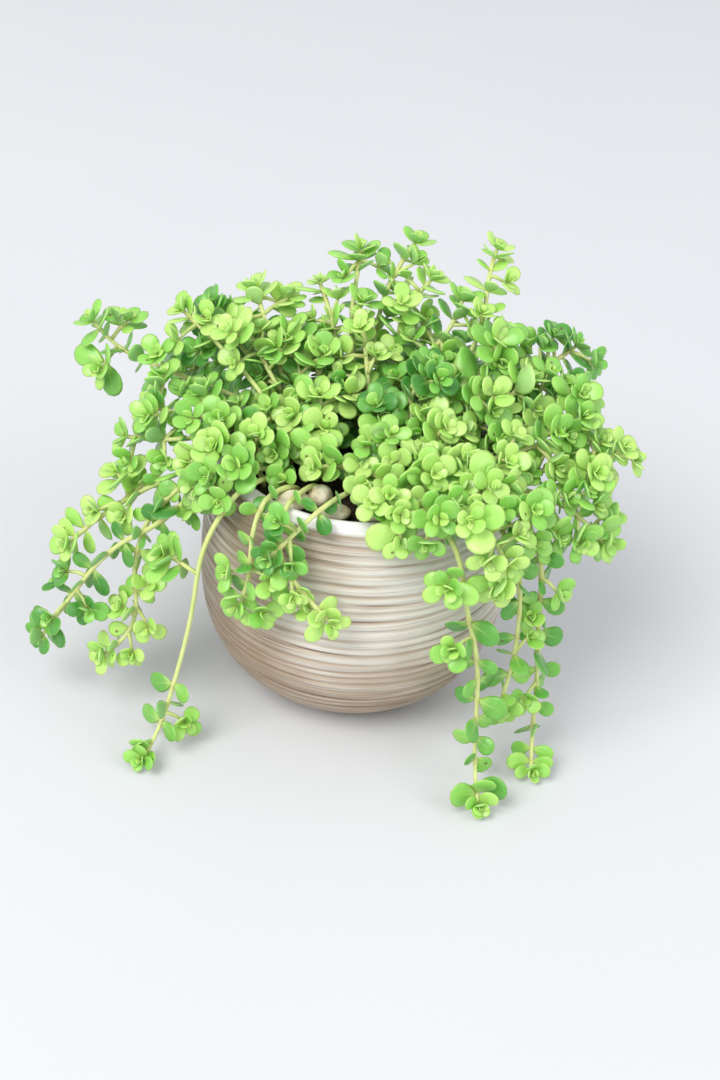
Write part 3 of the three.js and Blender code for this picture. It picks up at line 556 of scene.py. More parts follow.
# These stems stay bare but for the shoots that are listed.
PLAIN = """
far_left bare_left tall_right trailing_front trailing_right_short trailing_right_long
trailing_left_front trailing_front_left arching_front hanging_front_left tall_middle tall_fork
star_top long_left trailing_left_outer trailing_left_inner out_left
""".split()
Stem = namedtuple("Stem", "name tone leaf pairs bare route shoots more")
STEM_TABLE = """
far_left mature 1 1 26 | -37,6,94 -65,22,94 -83,30,97 -89,32,104 | -85,22,92 -66,18,101 | -78,34,104
bare_left young 0.95 1 50 | -29,-2,98 -41,12,104 -59,26,113 | -51,21,113 | -60,20,106
mid_left mature 1 0 14 | -45,-6,94 -58,0,91 -67,5,90 | -63,10,98 | -52,-10,96
rear_left old 1.05 0 20 | -36,22,99 -44,26,106 -51,30,114 | -53,20,103 | -46,34,104
high_left young 1 0 18 | -27,14,100 -32,22,110 -37,33,119 | -30,31,116 | -42,24,110
bright_left young 0.95 0 14 | -26,4,98 -32,10,106 -39,19,113 | -33,17,113 | -40,8,106
broad_left mature 1.2 0 10 | -18,4,97 -22,10,105 -25,18,112 | -30,12,108 | -17,12,108
star_top young 0.8 0 20 | -10,16,108 -13,28,116 -17,36,121 | -11,30,119 | -18,26,113
tall_middle mature 1 2 24 | -4,14,104 -7,24,115 -5,36,126 -5,42,130 | -9,34,125 1,40,126 | -3,26,120
  -14,22,112
tall_fork mature 0.95 1 40 | 1,22,106 3,34,119 8,42,128 12,45,133 | 5,30,114 | 12,40,128
top_right young 1 0 16 | 8,22,106 11,32,118 18,38,124 | 16,30,115 | 10,38,124 9,27,116
ball_middle young 0.85 0 18 | 1,2,99 -1,14,111 -3,21,117 | 2,11,110 | -9,12,108
rear_right mature 1 0 12 | 16,18,106 25,23,113 28,31,121 | 31,26,115 | 13,21,111 23,16,109
tall_right young 0.9 1 30 | 30,20,104 36,29,117 35,40,129 38,43,134 | 41,36,126 34,26,119 | 42,24,112
broad_right mature 1.25 0 14 | 28,4,100 36,12,108 42,19,116 | 47,21,110 | 40,12,111
far_top_right old 1 1 18 | 44,12,100 56,18,107 65,27,110 | 70,23,107 62,16,103 | 56,24,111
far_mid_right mature 1 1 16 | 40,2,98 54,6,100 68,11,103 | 60,10,105 | 66,4,98
rosette_right young 1.15 0 20 | 34,-6,98 42,0,103 49,7,108 | 51,0,102 | 42,8,106
inner_right mature 1 0 10 | 22,-5,98 30,-2,103 36,6,106 | 38,-6,104 | 26,-2,105 24,8,105
star_right mature 1.05 1 18 | 42,-8,94 56,-5,96 69,1,97 | 61,-8,98 71,-6,92 |
far_right young 0.95 1 30 | 44,-16,90 62,-14,89 73,-12,90 78,-10,96 | 72,-16,86 | 82,-9,92
mid_right young 1 0 12 | 36,-18,93 46,-17,96 55,-12,98 | 45,-16,101 | 58,-18,93
low_right mature 0.95 1 14 | 42,-24,89 55,-25,88 66,-26,82 75,-25,72 | 61,-27,88 70,-24,84 | 77,-20,67
lip_right mature 1 0 12 | 38,-33,89 50,-37,88 59,-35,79 | 65,-30,75 | 52,-41,82
inner_front_right young 1 0 8 | 18,-16,94 24,-15,102 | 30,-12,100 18,-8,101 |
bright_front young 1.05 0 6 | 16,-29,90 21,-33,97 | 28,-27,97 17,-24,98 |
front_right young 1 0 10 | 28,-32,90 37,-38,97 | 44,-33,94 | 33,-44,92 41,-26,97
front_low_right mature 1 0 10 | 16,-38,89 23,-51,94 | 20,-51,86 | 27,-46,96
front_hanging_right young 0.95 0 16 | 29,-39,90 38,-50,91 44,-52,80 | 38,-55,84 41,-53,72 | 46,-48,88
trailing_front mature 1.05 4 62 | 21,-39,89 30,-52,83 34,-53,62 39,-54,46 41,-56,16 42,-63,4 43,-70,3 |
  27,-59,76 | 31,-57,52
trailing_right_short mature 0.9 4 16 | 36,-36,89 47,-45,80 50,-45,61 51,-45,43 49,-46,27 48,-47,21 |  |
  54,-44,48
trailing_right_long mature 0.9 5 18 | 43,-30,90 55,-38,76 57,-39,51 59,-40,34 60,-41,16 60,-47,4
  60,-54,3 | 61,-40,63 | 54,-43,55 56,-44,24
centre_right mature 1 0 8 | 10,-24,92 8,-20,101 | 14,-16,98 2,-21,98 | 6,-12,98
centre_front young 0.95 0 4 | 1,-27,89 0,-26,94 | -7,-24,91 7,-31,93 | -13,-26,92 2,-34,92
centre_rosette young 1.15 0 12 | -13,-6,95 -14,-2,102 | -5,0,102 -21,-8,98 | -12,-12,97 -14,-22,93
centre_branch old 1 0 24 | 6,-8,95 14,-2,104 19,7,111 | 14,-9,101 | 9,5,106 18,0,111 4,-4,98
inner_left mature 0.9 0 8 | -25,-8,92 -29,-5,98 | -22,-14,93 | -33,-12,94 -26,-20,92 -18,-12,99
inner_middle old 1 0 8 | -12,8,96 -16,12,104 | -8,4,103 | -20,4,97 -14,16,108
low_left mature 1 0 8 | -35,-23,88 -49,-28,83 | -39,-36,84 -50,-27,74 | -36,-24,93
lip_left young 1.05 0 8 | -34,-16,91 -47,-17,90 | -42,-14,95 | -51,-22,88
out_left mature 1 1 10 | -43,-8,90 -58,-8,86 -73,-4,84 | -71,-9,79 -57,-3,88 | -60,-12,82
long_left young 1 1 14 | -42,-15,88 -61,-16,76 -75,-17,67 -89,-22,55 | -75,-11,75 -71,-21,67 |
  -67,-13,72 -80,-19,66
trailing_left_outer old 1 3 30 | -41,-25,88 -56,-28,72 -74,-28,59 -84,-28,45 -91,-29,34 -97,-30,24 |
  -89,-25,46 -82,-32,38 | -93,-32,33 -92,-24,41
trailing_left_inner young 0.9 5 22 | -40,-21,88 -57,-25,78 -66,-28,64 -68,-29,50 -66,-30,38 -68,-32,28
  -77,-34,21 | -71,-31,38 | -63,-31,48 -63,-33,33 -68,-34,23
trailing_left_front mature 1 2 95 | -34,-32,89 -45,-42,72 -47,-44,53 -50,-45,36 -54,-47,18 -58,-52,4
  -61,-61,3 | -57,-37,64 -50,-49,9 |
hanging_front_left mature 0.95 1 14 | -27,-36,89 -31,-46,78 -29,-49,64 -33,-51,58 | -24,-51,68 |
  -36,-47,67 -26,-52,57
arching_front old 0.85 2 26 | 1,-31,89 -7,-39,91 -13,-47,89 -21,-52,81 -24,-51,76 |  | -22,-50,88
  -18,-53,76
trailing_front_left young 0.8 4 24 | -19,-36,89 -24,-47,80 -19,-52,71 -11,-55,63 -5,-57,58 |  |
  -17,-55,66 -12,-53,60
front_over_lip young 1 0 6 | 9,-36,89 12,-46,91 | 13,-50,85 | 9,-43,95
rear_edge_left old 1.05 0 14 | -36,31,91 -47,43,89 -52,50,78 -54,52,66 | -44,52,84 | -60,38,84
rear_edge_inner_left mature 1 0 12 | -17,37,91 -21,49,91 -24,57,82 | -12,54,86 | -30,52,84
rear_edge_middle old 1.05 0 14 | 4,39,91 7,49,91 8,57,80 7,59,66 | 16,53,86 | -3,57,82 12,59,72
rear_edge_right old 1 0 14 | 25,37,91 32,47,90 38,54,80 | 45,45,87 | 29,56,78
"""


def read_stem(row):
    """One row: name, tone, leaf size, listed pairs and bare length; then route, shoots and more."""
    head, *groups = row.split("|")
    name, tone, *numbers = head.split()
    leaf, pairs, bare = map(float, numbers)
    spots = ([tuple(map(float, spot.split(","))) for spot in group.split()] for group in groups)
    return Stem(name, tone, leaf, int(pairs), bare, *spots)


STEMS = [read_stem(row) for row in STEM_TABLE.strip().replace("\n ", " ").split("\n")]
print("stems:", len(STEMS), "shoots:", sum(len(s.shoots) + len(s.more) for s in STEMS))

# %% Place the roots
def place_roots():
    """Roots stand under their stems, nearer the middle, and spread until none crowds another."""
    heads = np.array([stem.route[0][:2] for stem in STEMS], float)
    reach = np.linalg.norm(heads, axis=1)
    roots = heads * (np.minimum(ROOT_REACH, 0.62 * reach + 2) / reach)[:, None]
    for _ in range(ROOT_PASSES):
        apart = roots[:, None] - roots[None]
        away = np.linalg.norm(apart, axis=2) + np.eye(len(roots)) * 99
        push = np.where(away < ROOT_SPACING, (ROOT_SPACING - away) * 0.4 / away, 0)
        moves = (apart * push[..., None]).sum(1)
        for pebble in PEBBLES:
            gap = roots - np.array(pebble.at)
            length = np.linalg.norm(gap, axis=1)
            room = pebble.size[0] + 2
            moves += gap * np.where(length < room, (room - length) / length, 0)[:, None]
        roots = roots + moves
        reach = np.linalg.norm(roots, axis=1)
        roots *= np.minimum(1, (ROOT_REACH + 2) / reach)[:, None]
    return roots


root_spots = place_roots()
print("first root:", root_spots[0].round(2))

# %% Draw the lines
def thread(points):
    """A smooth line through given points, as samples a few millimetres apart."""
    points = [np.array(p, float) for p in points]
    line = [points[0]]
    for i in range(len(points) - 1):
        b, c = points[i], points[i + 1]
        a = points[i - 1] if i else 2 * b - c
        d = points[i + 2] if i + 2 < len(points) else 2 * c - b
        steps = max(1, math.floor(np.linalg.norm(c - b) / FINE_STEP + 0.5))
        for k in range(1, steps + 1):
            t = k / steps
            start, end, gap = (c - a) / 2, (d - b) / 2, c - b
            line.append(b + t * (start + t * (3 * gap - 2 * start - end + t * (start + end - 2 * gap))))
    return line


class Line:
    """One stem or shoot: its samples, its owner among the stems, and the line that it springs from."""

    def __init__(self, owner, radius, points, parent=None, start=0, extra=False):
        self.owner = owner
        self.radius = radius
        self.points = np.array(points)
        self.parent = parent
        self.start = start
        self.extra = extra


def shoot_from(main, tip, extra):
    """A shoot leaves its stem at the nearest sample that is far enough from the shoot's tip."""
    tip = np.array(tip, float)
    away = np.linalg.norm(main.points - tip, axis=1)
    allowed = [i for i in range(3, len(away) - 1) if away[i] >= SHOOT_GAP]
    start = min(allowed, key=lambda i: away[i], default=len(away) - 2)
    middle = (main.points[start] + tip) / 2 + np.array((0, 0, 0.08 * away[start]))
    points = thread([main.points[start], middle, tip])
    return Line(main.owner, SHOOT_RADIUS, points, main, start, extra)


def run_along(points):
    """How far along its line each sample lies."""
    steps = np.linalg.norm(np.diff(points, axis=0), axis=1)
    return np.concatenate(([0], np.cumsum(steps)))


mains = []
for owner, (stem, (x, y)) in enumerate(zip(STEMS, root_spots)):
    line = [(x, y, ROOT_DEPTH), (x, y, COLLAR), *thread([(x, y, COLLAR + 3), *stem.route])]
    mains.append(Line(owner, STEM_RADIUS, line))
lines = []
for main, stem in zip(mains, STEMS):
    lines.append(main)
    lines += [shoot_from(main, tip, False) for tip in stem.shoots]
print("lines:", len(lines), "samples:", sum(len(line.points) for line in lines))

# %% Settle the lines
def keep_clear(points, radius):
    """Holds samples off the ground, the lip and the wall of the bowl."""
    for p in points:
        p[2] = max(p[2], radius + 0.6)
        reach = math.hypot(p[0], p[1])
        if p[2] < BOWL_HEIGHT + 2 and LIP_RADIUS - WALL - 3 < reach < LIP_RADIUS:
            p[2] = BOWL_HEIGHT + 2
        elif p[2] < BOWL_HEIGHT + 2 and reach >= LIP_RADIUS:
            p[:2] *= max(1, (bowl_radius(min(p[2], BOWL_HEIGHT)) + 1.8) / reach)


def settle(lines, moving, passes):
    """Pushes lines of different stems apart; only the moving ones give way."""
    sizes = [len(line.points) for line in lines]
    starts = np.cumsum([0, *sizes])
    owners = np.repeat([line.owner for line in lines], sizes)
    free = np.concatenate([
        np.full(n, line in moving) & (np.arange(n) >= (0 if line.parent else 2))
        for line, n in zip(lines, sizes)])
    for step in range(passes):
        spots = np.concatenate([line.points for line in lines])
        if step % 5 == 0:
            near = []
            for first in range(0, len(spots), BLOCK):
                gaps = np.abs(spots[first:first + BLOCK, None] - spots[None]).max(2)
                foreign = owners[first:first + BLOCK, None] != owners
                i, j = np.nonzero((gaps < STEM_CLEARANCE + 5) & foreign)
                near.append(np.stack((i + first, j)))
            near = np.concatenate(near, 1)
        apart = spots[near[0]] - spots[near[1]]
        away = np.maximum(np.linalg.norm(apart, axis=1), 0.01)
        push = np.where(away < STEM_CLEARANCE, (STEM_CLEARANCE - away) * 0.4 / away, 0)
        moves = np.zeros_like(spots)
        np.add.at(moves, near[0], apart * push[:, None])
        for line, first, n in zip(lines, starts, sizes):
            if n > 5:
                p = line.points
                moves[first + 4:first + n - 1] += 0.15 * ((p[3:-2] + p[5:]) / 2 - p[4:-1])
        spots[free] += moves[free]
        for line, first, n in zip(lines, starts, sizes):
            if line in moving:
                line.points = spots[first:first + n].copy()
                keep_clear(line.points[0 if line.parent else 2:], line.radius)
        for line in moving:
            if line.parent:
                line.points[0] = line.parent.points[line.start]


settle(lines, lines, SETTLE_PASSES)
for line in mains:
    p = line.points
    for _ in range(BEND_PASSES if len(p) > 9 else 0):
        p[2:8] += 0.5 * ((p[1:7] + p[3:9]) / 2 - p[2:8])
        keep_clear(p[2:], line.radius)
extra = [shoot_from(main, tip, True) for main, stem in zip(mains, STEMS) for tip in stem.more]
draw = seeded(4242)
for main, stem in zip(mains, STEMS):
    run = run_along(main.points)
    turn = draw() * 2 * math.pi
    spot = run[-1] - 9 - 3 * draw()
    while spot > max(stem.bare * SIDE_BARE, 11) and stem.name not in PLAIN:
        i = int(np.searchsorted(run, spot))
        along = main.points[i] - main.points[i - 1]
        out = np.array((math.cos(turn), math.sin(turn), 0.7 * draw()))
        out -= along * out.dot(along) / along.dot(along)
        tip = main.points[i] + along * 1.2 + out / np.linalg.norm(out) * (6.5 + 3.5 * draw())
        points = thread([main.points[i], (main.points[i] + tip) / 2 + (0, 0, 0.6), tip])
        extra.append(Line(main.owner, SHOOT_RADIUS * 0.9, points, main, i, True))
        turn += SIDE_TURN
        spot -= SIDE_STEP * (0.8 + 0.4 * draw())
lines += extra
settle(lines, extra, LATE_PASSES)
print("tip of the first stem:", lines[0].points[-1].round(2), "lines now:", len(lines))

# %% [markdown]
# ## Where the leaves sit
# A peperomia carries its leaves in whorls and pairs, each turned a quarter from the last. At the
# tip they crowd into a rosette. A leaf is described by its base on the stem, the way it points, the
# way its face looks, and its length. Leaves never pass through one another in life, so each new
# one is tried against those already placed, tilted or made smaller if it meets one, and left out
# if nothing helps.

# %% Find the spots on a line
LEAF_LENGTH = 9
INTERNODE = 7
# Each try turns the leaf by a pitch and a phase, in radians, and scales it.
TRIES = [(0, 0, 1), (-0.3, 0.2, 0.95), (0.25, -0.25, 0.9), (-0.6, 0.3, 0.85), (-0.3, -0.5, 0.75),
         (-0.7, 0, 0.7)]
Spot = namedtuple("Spot", "base along side other")
Place = namedtuple("Place", "spot line rank phase pitch length age cluster")
UP = np.array((0, 0, 1.0))
WINDOW = np.array((0, -0.72, 0))


def unit(v):
    return v / np.linalg.norm(v)


def frames_along(points):
    """At each sample, the way the line runs and two directions square to it."""
    end = len(points) - 1
    side = np.array((1.0, 0, 0))
    frames = []
    for i in range(end + 1):
        along = unit(points[min(i + 1, end)] - points[max(i - 1, 0)])
        side = unit(side - along * side.dot(along))
        frames.append((along, side, np.cross(along, side)))
    return frames


def measure(line):
    """Coarser samples for the leaves, with a direction at each and the length run so far."""
    end = len(line.points) - 1
    keep = [i for i in range(end + 1) if i < 2 or i == end or (i % 3 == 0 and i < end - 1)]
    line.coarse = line.points[keep]
    line.run = run_along(line.coarse)
    line.frames = frames_along(line.coarse)


def spot_at(line, length):
    i = int(np.clip(np.searchsorted(line.run, length), 1, len(line.run) - 1))
    share = (length - line.run[i - 1]) / (line.run[i] - line.run[i - 1])
    base = line.coarse[i - 1] * (1 - share) + line.coarse[i] * share
    return Spot(base, *line.frames[i - 1 if share < 0.5 else i])


def towards_light(base):
    """Light comes from above, from outside and from the window in front, so leaves look that way."""
    return unit(UP + WINDOW + 0.6 * base * (1, 1, 0) / max(math.hypot(base[0], base[1]), 30))


def lifted(spot, lift=0.8):
    """The same spot with its axis bent towards the light."""
    along = unit(spot.along + towards_light(spot.base) * lift)
    side = unit(spot.side - along * spot.side.dot(along))
    return Spot(spot.base, along, side, np.cross(along, side))


for line in lines:
    measure(line)
print("length of the first stem:", round(float(lines[0].run[-1]), 1), "mm")

# %% List the leaves of every line
TONE_AGE = {"young": 0.12, "mature": 0.42, "old": 0.72}
ROSETTE = 0.72
BIG_LEAF = 0.1
BUD_SHARE = 0.6
PAIR_SCALE = 0.84
TIP, HEART, BUD, LOWER = range(4)
PITCH = {TIP: 66, HEART: 52, BUD: 22, LOWER: 84}
JOINT_PITCH = 76


def shaded(base):
    """Painted shade for a leaf: 1 for one low down over the soil, 0 for one high up or beyond the lip.
    """
    return soft_step(-base[2], -100, -86) * (1 - soft_step(math.hypot(base[0], base[1]), 34, 48))


def list_leaves(index, line):
    stem = STEMS[line.owner]
    size = LEAF_LENGTH * stem.leaf
    total = line.run[-1]
    draw = seeded(100 + index)
    late = seeded(5000 + index)
    tone = TONE_AGE[stem.tone]
    places = []

    def whorl(rank, spot, count, scale, phase, age, draw):
        for k in range(count):
            swing = phase + k * 2 * math.pi / count + (draw() - 0.5) * 0.2
            lean = math.radians(PITCH.get(rank, JOINT_PITCH) + (draw() - 0.5) * 18)
            length = size * scale * (0.9 + 0.2 * draw())
            if rank > TIP:
                swing += (draw() - 0.5) * 0.5
                lean += (draw() - 0.5) * 0.35
                length *= 0.85 + 0.3 * draw()
            if rank >= LOWER:
                length *= 1.3 if draw() < BIG_LEAF else 1
                # Painted shade: a leaf low down over the soil is counted older, so it is painted the
                # deeper green of age.
                age_and_shade_here = age + 0.4 * shaded(spot.base)
            else:
                age_and_shade_here = age
            places.append(Place(spot, line, rank, swing, lean, length, age_and_shade_here, index))

    turn = draw() * math.pi
    quarter = turn + math.pi / 4
    tip = lifted(spot_at(line, total - 0.2))
    whorl(TIP, tip, 4, ROSETTE, turn, tone, draw)
    heart = Spot(tip.base + tip.along * 0.9, *tip[1:])
    whorl(HEART, heart, 2 + int(late() * 3), ROSETTE * (0.45 + 0.2 * late()), quarter, tone * 0.6, late)
    if late() < BUD_SHARE:
        bud = Spot(tip.base + tip.along * 1.5, *tip[1:])
        whorl(BUD, bud, 2, ROSETTE * 0.3, turn, tone * 0.3, late)
    if total > 8:
        below = lifted(spot_at(line, total - 3.0), 0.5)
        whorl(LOWER, below, 3 + int(late() * 2), 0.74 + 0.25 * late(), quarter, tone + 0.1, late)
    back = 0
    bare = stem.bare if line.parent is None else 3
    joint = 0
    while True:
        joint += 1
        listed = line.parent is None and joint <= stem.pairs
        source = draw if listed else late
        back += INTERNODE * (0.85 + 0.3 * source())
        if not listed and back > total - bare:
            return places
        count = 2 if listed or joint > 2 else 3
        age = min(tone + 0.14 + 0.07 * joint, 1)
        here = spot_at(line, total - back)
        whorl(LOWER + joint, here, count, PAIR_SCALE, turn + joint * math.pi / 2, age, source)


order = [line for line in lines if not line.extra] + extra
places = [place for index, line in enumerate(order) for place in list_leaves(index, line)]
places.sort(key=lambda place: place.rank)
print("leaves to try:", len(places))

# %% Try each leaf against its neighbours
LEAF_RISE = 0.16
LEAF_ROOM = 1.05
STEM_ROOM = 1.6
SAMPLES = np.array([(0.3, 0), (0.5, -0.32), (0.5, 0.32), (0.6, 0), (0.76, -0.42), (0.76, 0.42), (0.8, 0),
                    (0.95, -0.18), (0.95, 0.18)])
Leaf = namedtuple("Leaf", "base forward normal length age place")


def leaf_pose(place, pitch, phase, scale):
    spot = place.spot
    angle, lean = place.phase + phase, place.pitch + pitch
    out = spot.side * math.cos(angle) + spot.other * math.sin(angle)
    forward = spot.along * math.cos(lean) + out * math.sin(lean)
    normal = spot.along * 0.5 + towards_light(spot.base)
    normal = unit(normal - forward * normal.dot(forward))
    return Leaf(spot.base, forward, normal, place.length * scale, place.age, place)


def leaf_samples(leaf):
    side = np.cross(leaf.normal, leaf.forward)
    out, wide = SAMPLES[:, :1] * leaf.length, SAMPLES[:, 1:] * leaf.length
    return leaf.base + out * (leaf.forward + LEAF_RISE * leaf.normal) + wide * side


def clear_of_bowl(points):
    inside = outside = False
    for x, y, z in points:
        reach = math.hypot(x, y)
        if z < 1.2:
            return False
        if z > BOWL_HEIGHT + 0.9:
            continue
        if reach < inner_radius(BOWL_HEIGHT) - 1 and z > SOIL_TOP + 2.4:
            inside = True
        elif reach > bowl_radius(z) + 1.1:
            outside = True
        else:
            return False
    over_pebble = any(math.hypot(x - p.at[0], y - p.at[1]) < p.size[0] + 1 and z < SOIL_TOP + 6
                      for p in PEBBLES for x, y, z in points)
    return not (inside and outside) and not over_pebble


stem_points = np.concatenate([line.points for line in lines])
stem_line = np.repeat(np.arange(len(lines)), [len(line.points) for line in lines])
parent_line = np.array([lines.index(line.parent) if line.parent else -1 for line in lines])
leaves = []
centres = np.zeros((len(places), 3))
clouds_of = np.zeros((len(places), len(SAMPLES), 3))
cluster_of = np.zeros(len(places), int)


def clear_of_others(points, place, own):
    middle = points.mean(0)
    count = len(leaves)
    near = np.nonzero(np.abs(centres[:count] - middle).max(1) < place.length * 1.25 + 2)[0]
    near = near[cluster_of[near] != place.cluster]
    if len(near):
        gaps = np.linalg.norm(clouds_of[near].reshape(-1, 1, 3) - points[None], axis=2)
        if gaps.min() < LEAF_ROOM:
            return False
    close = np.nonzero((np.abs(stem_points - middle).max(1) < place.length) & (stem_line != own))[0]
    close = close[parent_line[stem_line[close]] != own]
    if len(close):
        gaps = np.linalg.norm(stem_points[close][:, None] - points[None], axis=2)
        if gaps.min() < STEM_ROOM:
            return False
    return True


own_of = {id(line): k for k, line in enumerate(lines)}
for place in places:
    for pitch, phase, scale in TRIES:
        leaf = leaf_pose(place, pitch, phase, scale)
        points = leaf_samples(leaf)
        if clear_of_bowl(points) and clear_of_others(points, place, own_of[id(place.line)]):
            count = len(leaves)
            centres[count], clouds_of[count] = points.mean(0), points
            cluster_of[count] = place.cluster
            leaves.append(leaf)
            break
print("leaves placed:", len(leaves), "of", len(places))

# %% [markdown]
# ## One leaf
# A leaf is thick and round with a narrow foot. It starts as a flat drum of fourteen sides, ten
# for a small heart leaf. One cut round the drum's wall gives a middle ring, which is drawn out to
# the leaf's outline, so that the upper and lower faces meet in a soft edge; a poked middle lets
# both faces dip or swell. That is 56 small faces at most, which smooth shading rounds without any
# subdivision, so that thousands of leaves stay affordable. The masters differ in how far they cup:
# heart leaves fold upwards, grown leaves lie nearly flat, and old ones roll back a little.

# %% Model the master leaves
LEAF_MARKS = ("along", "across", "under", "age", "chance", "fleck")
MIDDLE = 0.6


def outline_at(turn):
    """A point on the leaf's edge: turn is 0 at the foot and pi at the tip."""
    x = 0.02 + 0.53 * (1 - math.cos(turn))
    y = 0.62 * math.sin(turn) * x / (x + 0.3)
    return x, y


def master_leaf(name, corners, thickness, cup, curl, width):
    bm = bmesh.new()
    bmesh.ops.create_cone(bm, cap_ends=True, segments=corners, radius1=1, radius2=1, depth=thickness)
    walls = [e for e in bm.edges if abs(e.verts[0].co.z - e.verts[1].co.z) > thickness / 2]
    bmesh.ops.subdivide_edges(bm, edges=walls, cuts=1)
    bmesh.ops.poke(bm, faces=[f for f in bm.faces if len(f.verts) == corners])
    layers = {key: bm.verts.layers.float.new(key) for key in LEAF_MARKS}
    for vert in bm.verts:
        x, y = outline_at(math.atan2(vert.co.y, -vert.co.x)) if vert.co.xy.length > 0.5 else (MIDDLE, 0)
        side = round(vert.co.z / thickness * 2)
        if side:
            x, y = MIDDLE + (x - MIDDLE) * 0.82, y * 0.82
        vert[layers["along"]], vert[layers["across"]] = x, y * 2
        vert[layers["under"]] = 0.5 - 0.5 * side
        y *= width
        vert.co = (x, y, vert.co.z + LEAF_RISE * x + cup * y * y + curl * x * x)
    for face in bm.faces:
        face.smooth = True
    mesh = bpy.data.meshes.new(name)
    bm.to_mesh(mesh)
    bm.free()
    return mesh


# Each form is how far the blade cups across, how far it curls along, and its width.
FORMS = {
    "heart": (10, 0.11, [(0.3, 0.05, 1), (0.2, 0.1, 1.06)]),
    "grown": (14, 0.085, [(0.1, 0, 1), (0.3, 0.04, 1), (0.06, -0.08, 0.84)]),
    "old": (14, 0.085, [(-0.08, -0.1, 1), (0.1, -0.02, 1.04), (0.05, -0.12, 0.84)]),
}
MASTERS = {kind: [master_leaf(f"{kind}_leaf_{k}", corners, thickness, *form)
                  for k, form in enumerate(forms)]
           for kind, (corners, thickness, forms) in FORMS.items()}
print("faces in one leaf:", len(MASTERS["grown"][0].polygons))

# %% [markdown]
# ## Leaf and stem finishes
# Young leaves are a bright yellow-green and let light through; older ones are deeper and glossier.
# Leaves low down over the soil are counted older, so painted shade darkens them to that deeper green.
# Every leaf is paler and greyer underneath and a little lighter along its midrib, and no two are
# quite the same tint. Its edge is lighter too, which is a painted highlight. Those things follow the
# leaf and not the room, so each leaf carries them as attributes: along and across its blade, how far
# round to the underside, its age with that painted shade, and a chance number of its own. A few
# carry a small brown fleck.

# %% Mix the leaf finishes
def leaf_finish(name, young, grown, aged):
    leaf = Finish(name, Subsurface_Weight=0.42, Subsurface_Scale=0.0025, Specular_IOR_Level=0.45,
                  Subsurface_Radius=(0.6, 1.0, 0.25), Coat_Weight=0.35, Coat_Roughness=0.16)
    along, across, under = (leaf.attribute(key) for key in ("along", "across", "under"))
    age, chance, fleck = (leaf.attribute(key) for key in ("age", "chance", "fleck"))
    mottle = leaf.grain(leaf.place(), 330, 3, 0.55)
    pores = leaf.grain(leaf.place(), 2600, 2)
    # Painted shade: for leaves low over the soil the age attribute also carries shade, which turns them
    # deeper green.
    ripening_and_shade = age + chance * 0.56 - 0.28 + mottle * 0.2 - 0.1
    colour = leaf.mix(leaf.ramp(ripening_and_shade, 0.05, 0.5), young, grown)
    colour = leaf.mix(leaf.ramp(ripening_and_shade, 0.5, 1.0), colour, aged)
    foot = 1 - leaf.ramp(along, 0.12, 0.5)
    colour = leaf.mix(foot * 0.45, colour, shade(206, 226, 130))
    # Painted highlight: the edge of every leaf is mixed towards a pale green, as light along its rim.
    edge = leaf.ramp(abs(under - 0.5) * -1, -0.3, 0.0)
    colour = leaf.mix(edge * 0.24, colour, shade(210, 240, 150))
    midrib = (1 - leaf.ramp(abs(across), 0.0, 0.1)) * (1 - leaf.ramp(along, 0.3, 0.9))
    colour = leaf.mix(midrib * 0.35, colour, shade(214, 234, 148))
    pale = leaf.ramp(under, 0.55, 0.85)
    colour = leaf.mix(pale * 0.6, colour, shade(170, 208, 146))
    away = ((along - 0.66) ** 2 + (across * 0.5 - 0.12) ** 2) ** 0.5
    brown = (1 - leaf.ramp(away, 0.04, 0.1)) * fleck * (1 - pale)
    colour = leaf.mix(brown * 0.85, colour, shade(104, 74, 38))
    relief = mottle * 0.4 + pores * 0.3 - midrib * 0.5
    return leaf.finish(colour, 0.34 + mottle * 0.14 + pale * 0.18, relief, 0.00014)


LEAF_FINISHES = {
    "young": leaf_finish("young_leaf", shade(190, 232, 124), shade(160, 216, 98), shade(108, 178, 74)),
    "mature": leaf_finish("mature_leaf", shade(182, 228, 116), shade(146, 206, 92), shade(88, 158, 62)),
    "old": leaf_finish("old_leaf", shade(166, 220, 106), shade(124, 192, 82), shade(70, 140, 54)),
}
bark = Finish("pale_stem", Subsurface_Weight=0.12, Subsurface_Scale=0.001, Specular_IOR_Level=0.4)
node_ring, bark_age = bark.attribute("joint"), bark.attribute("age")
bark_streaks = bark.grain(bark.place((900, 900, 200)), 1.0, 3)
bark_colour = bark.mix(bark_age, shade(222, 234, 156), shade(204, 214, 134))
bark_colour = bark.mix(bark.ramp(bark_streaks, 0.45, 0.75) * 0.35, bark_colour, shade(184, 200, 112))
bark_colour = bark.mix(node_ring * 0.35, bark_colour, shade(176, 148, 96))
bark.finish(bark_colour, 0.42 + bark_streaks * 0.2, bark_streaks, 0.0002)
print("leaf finishes:", ", ".join(LEAF_FINISHES))

# %% [markdown]
# ## Stems with their leaves
# A stem is one ring of seven corners, extruded from sample to sample and turned to face along the
# line each time, a little thinner towards the tip and swollen at each joint. The leaves are copies
# of the masters, each moved by one matrix whose columns are the way the leaf points, its side and
# its face.

# %% Build the leafy stems
STEM_CORNERS = 7
FLECK_SHARE = 0.045


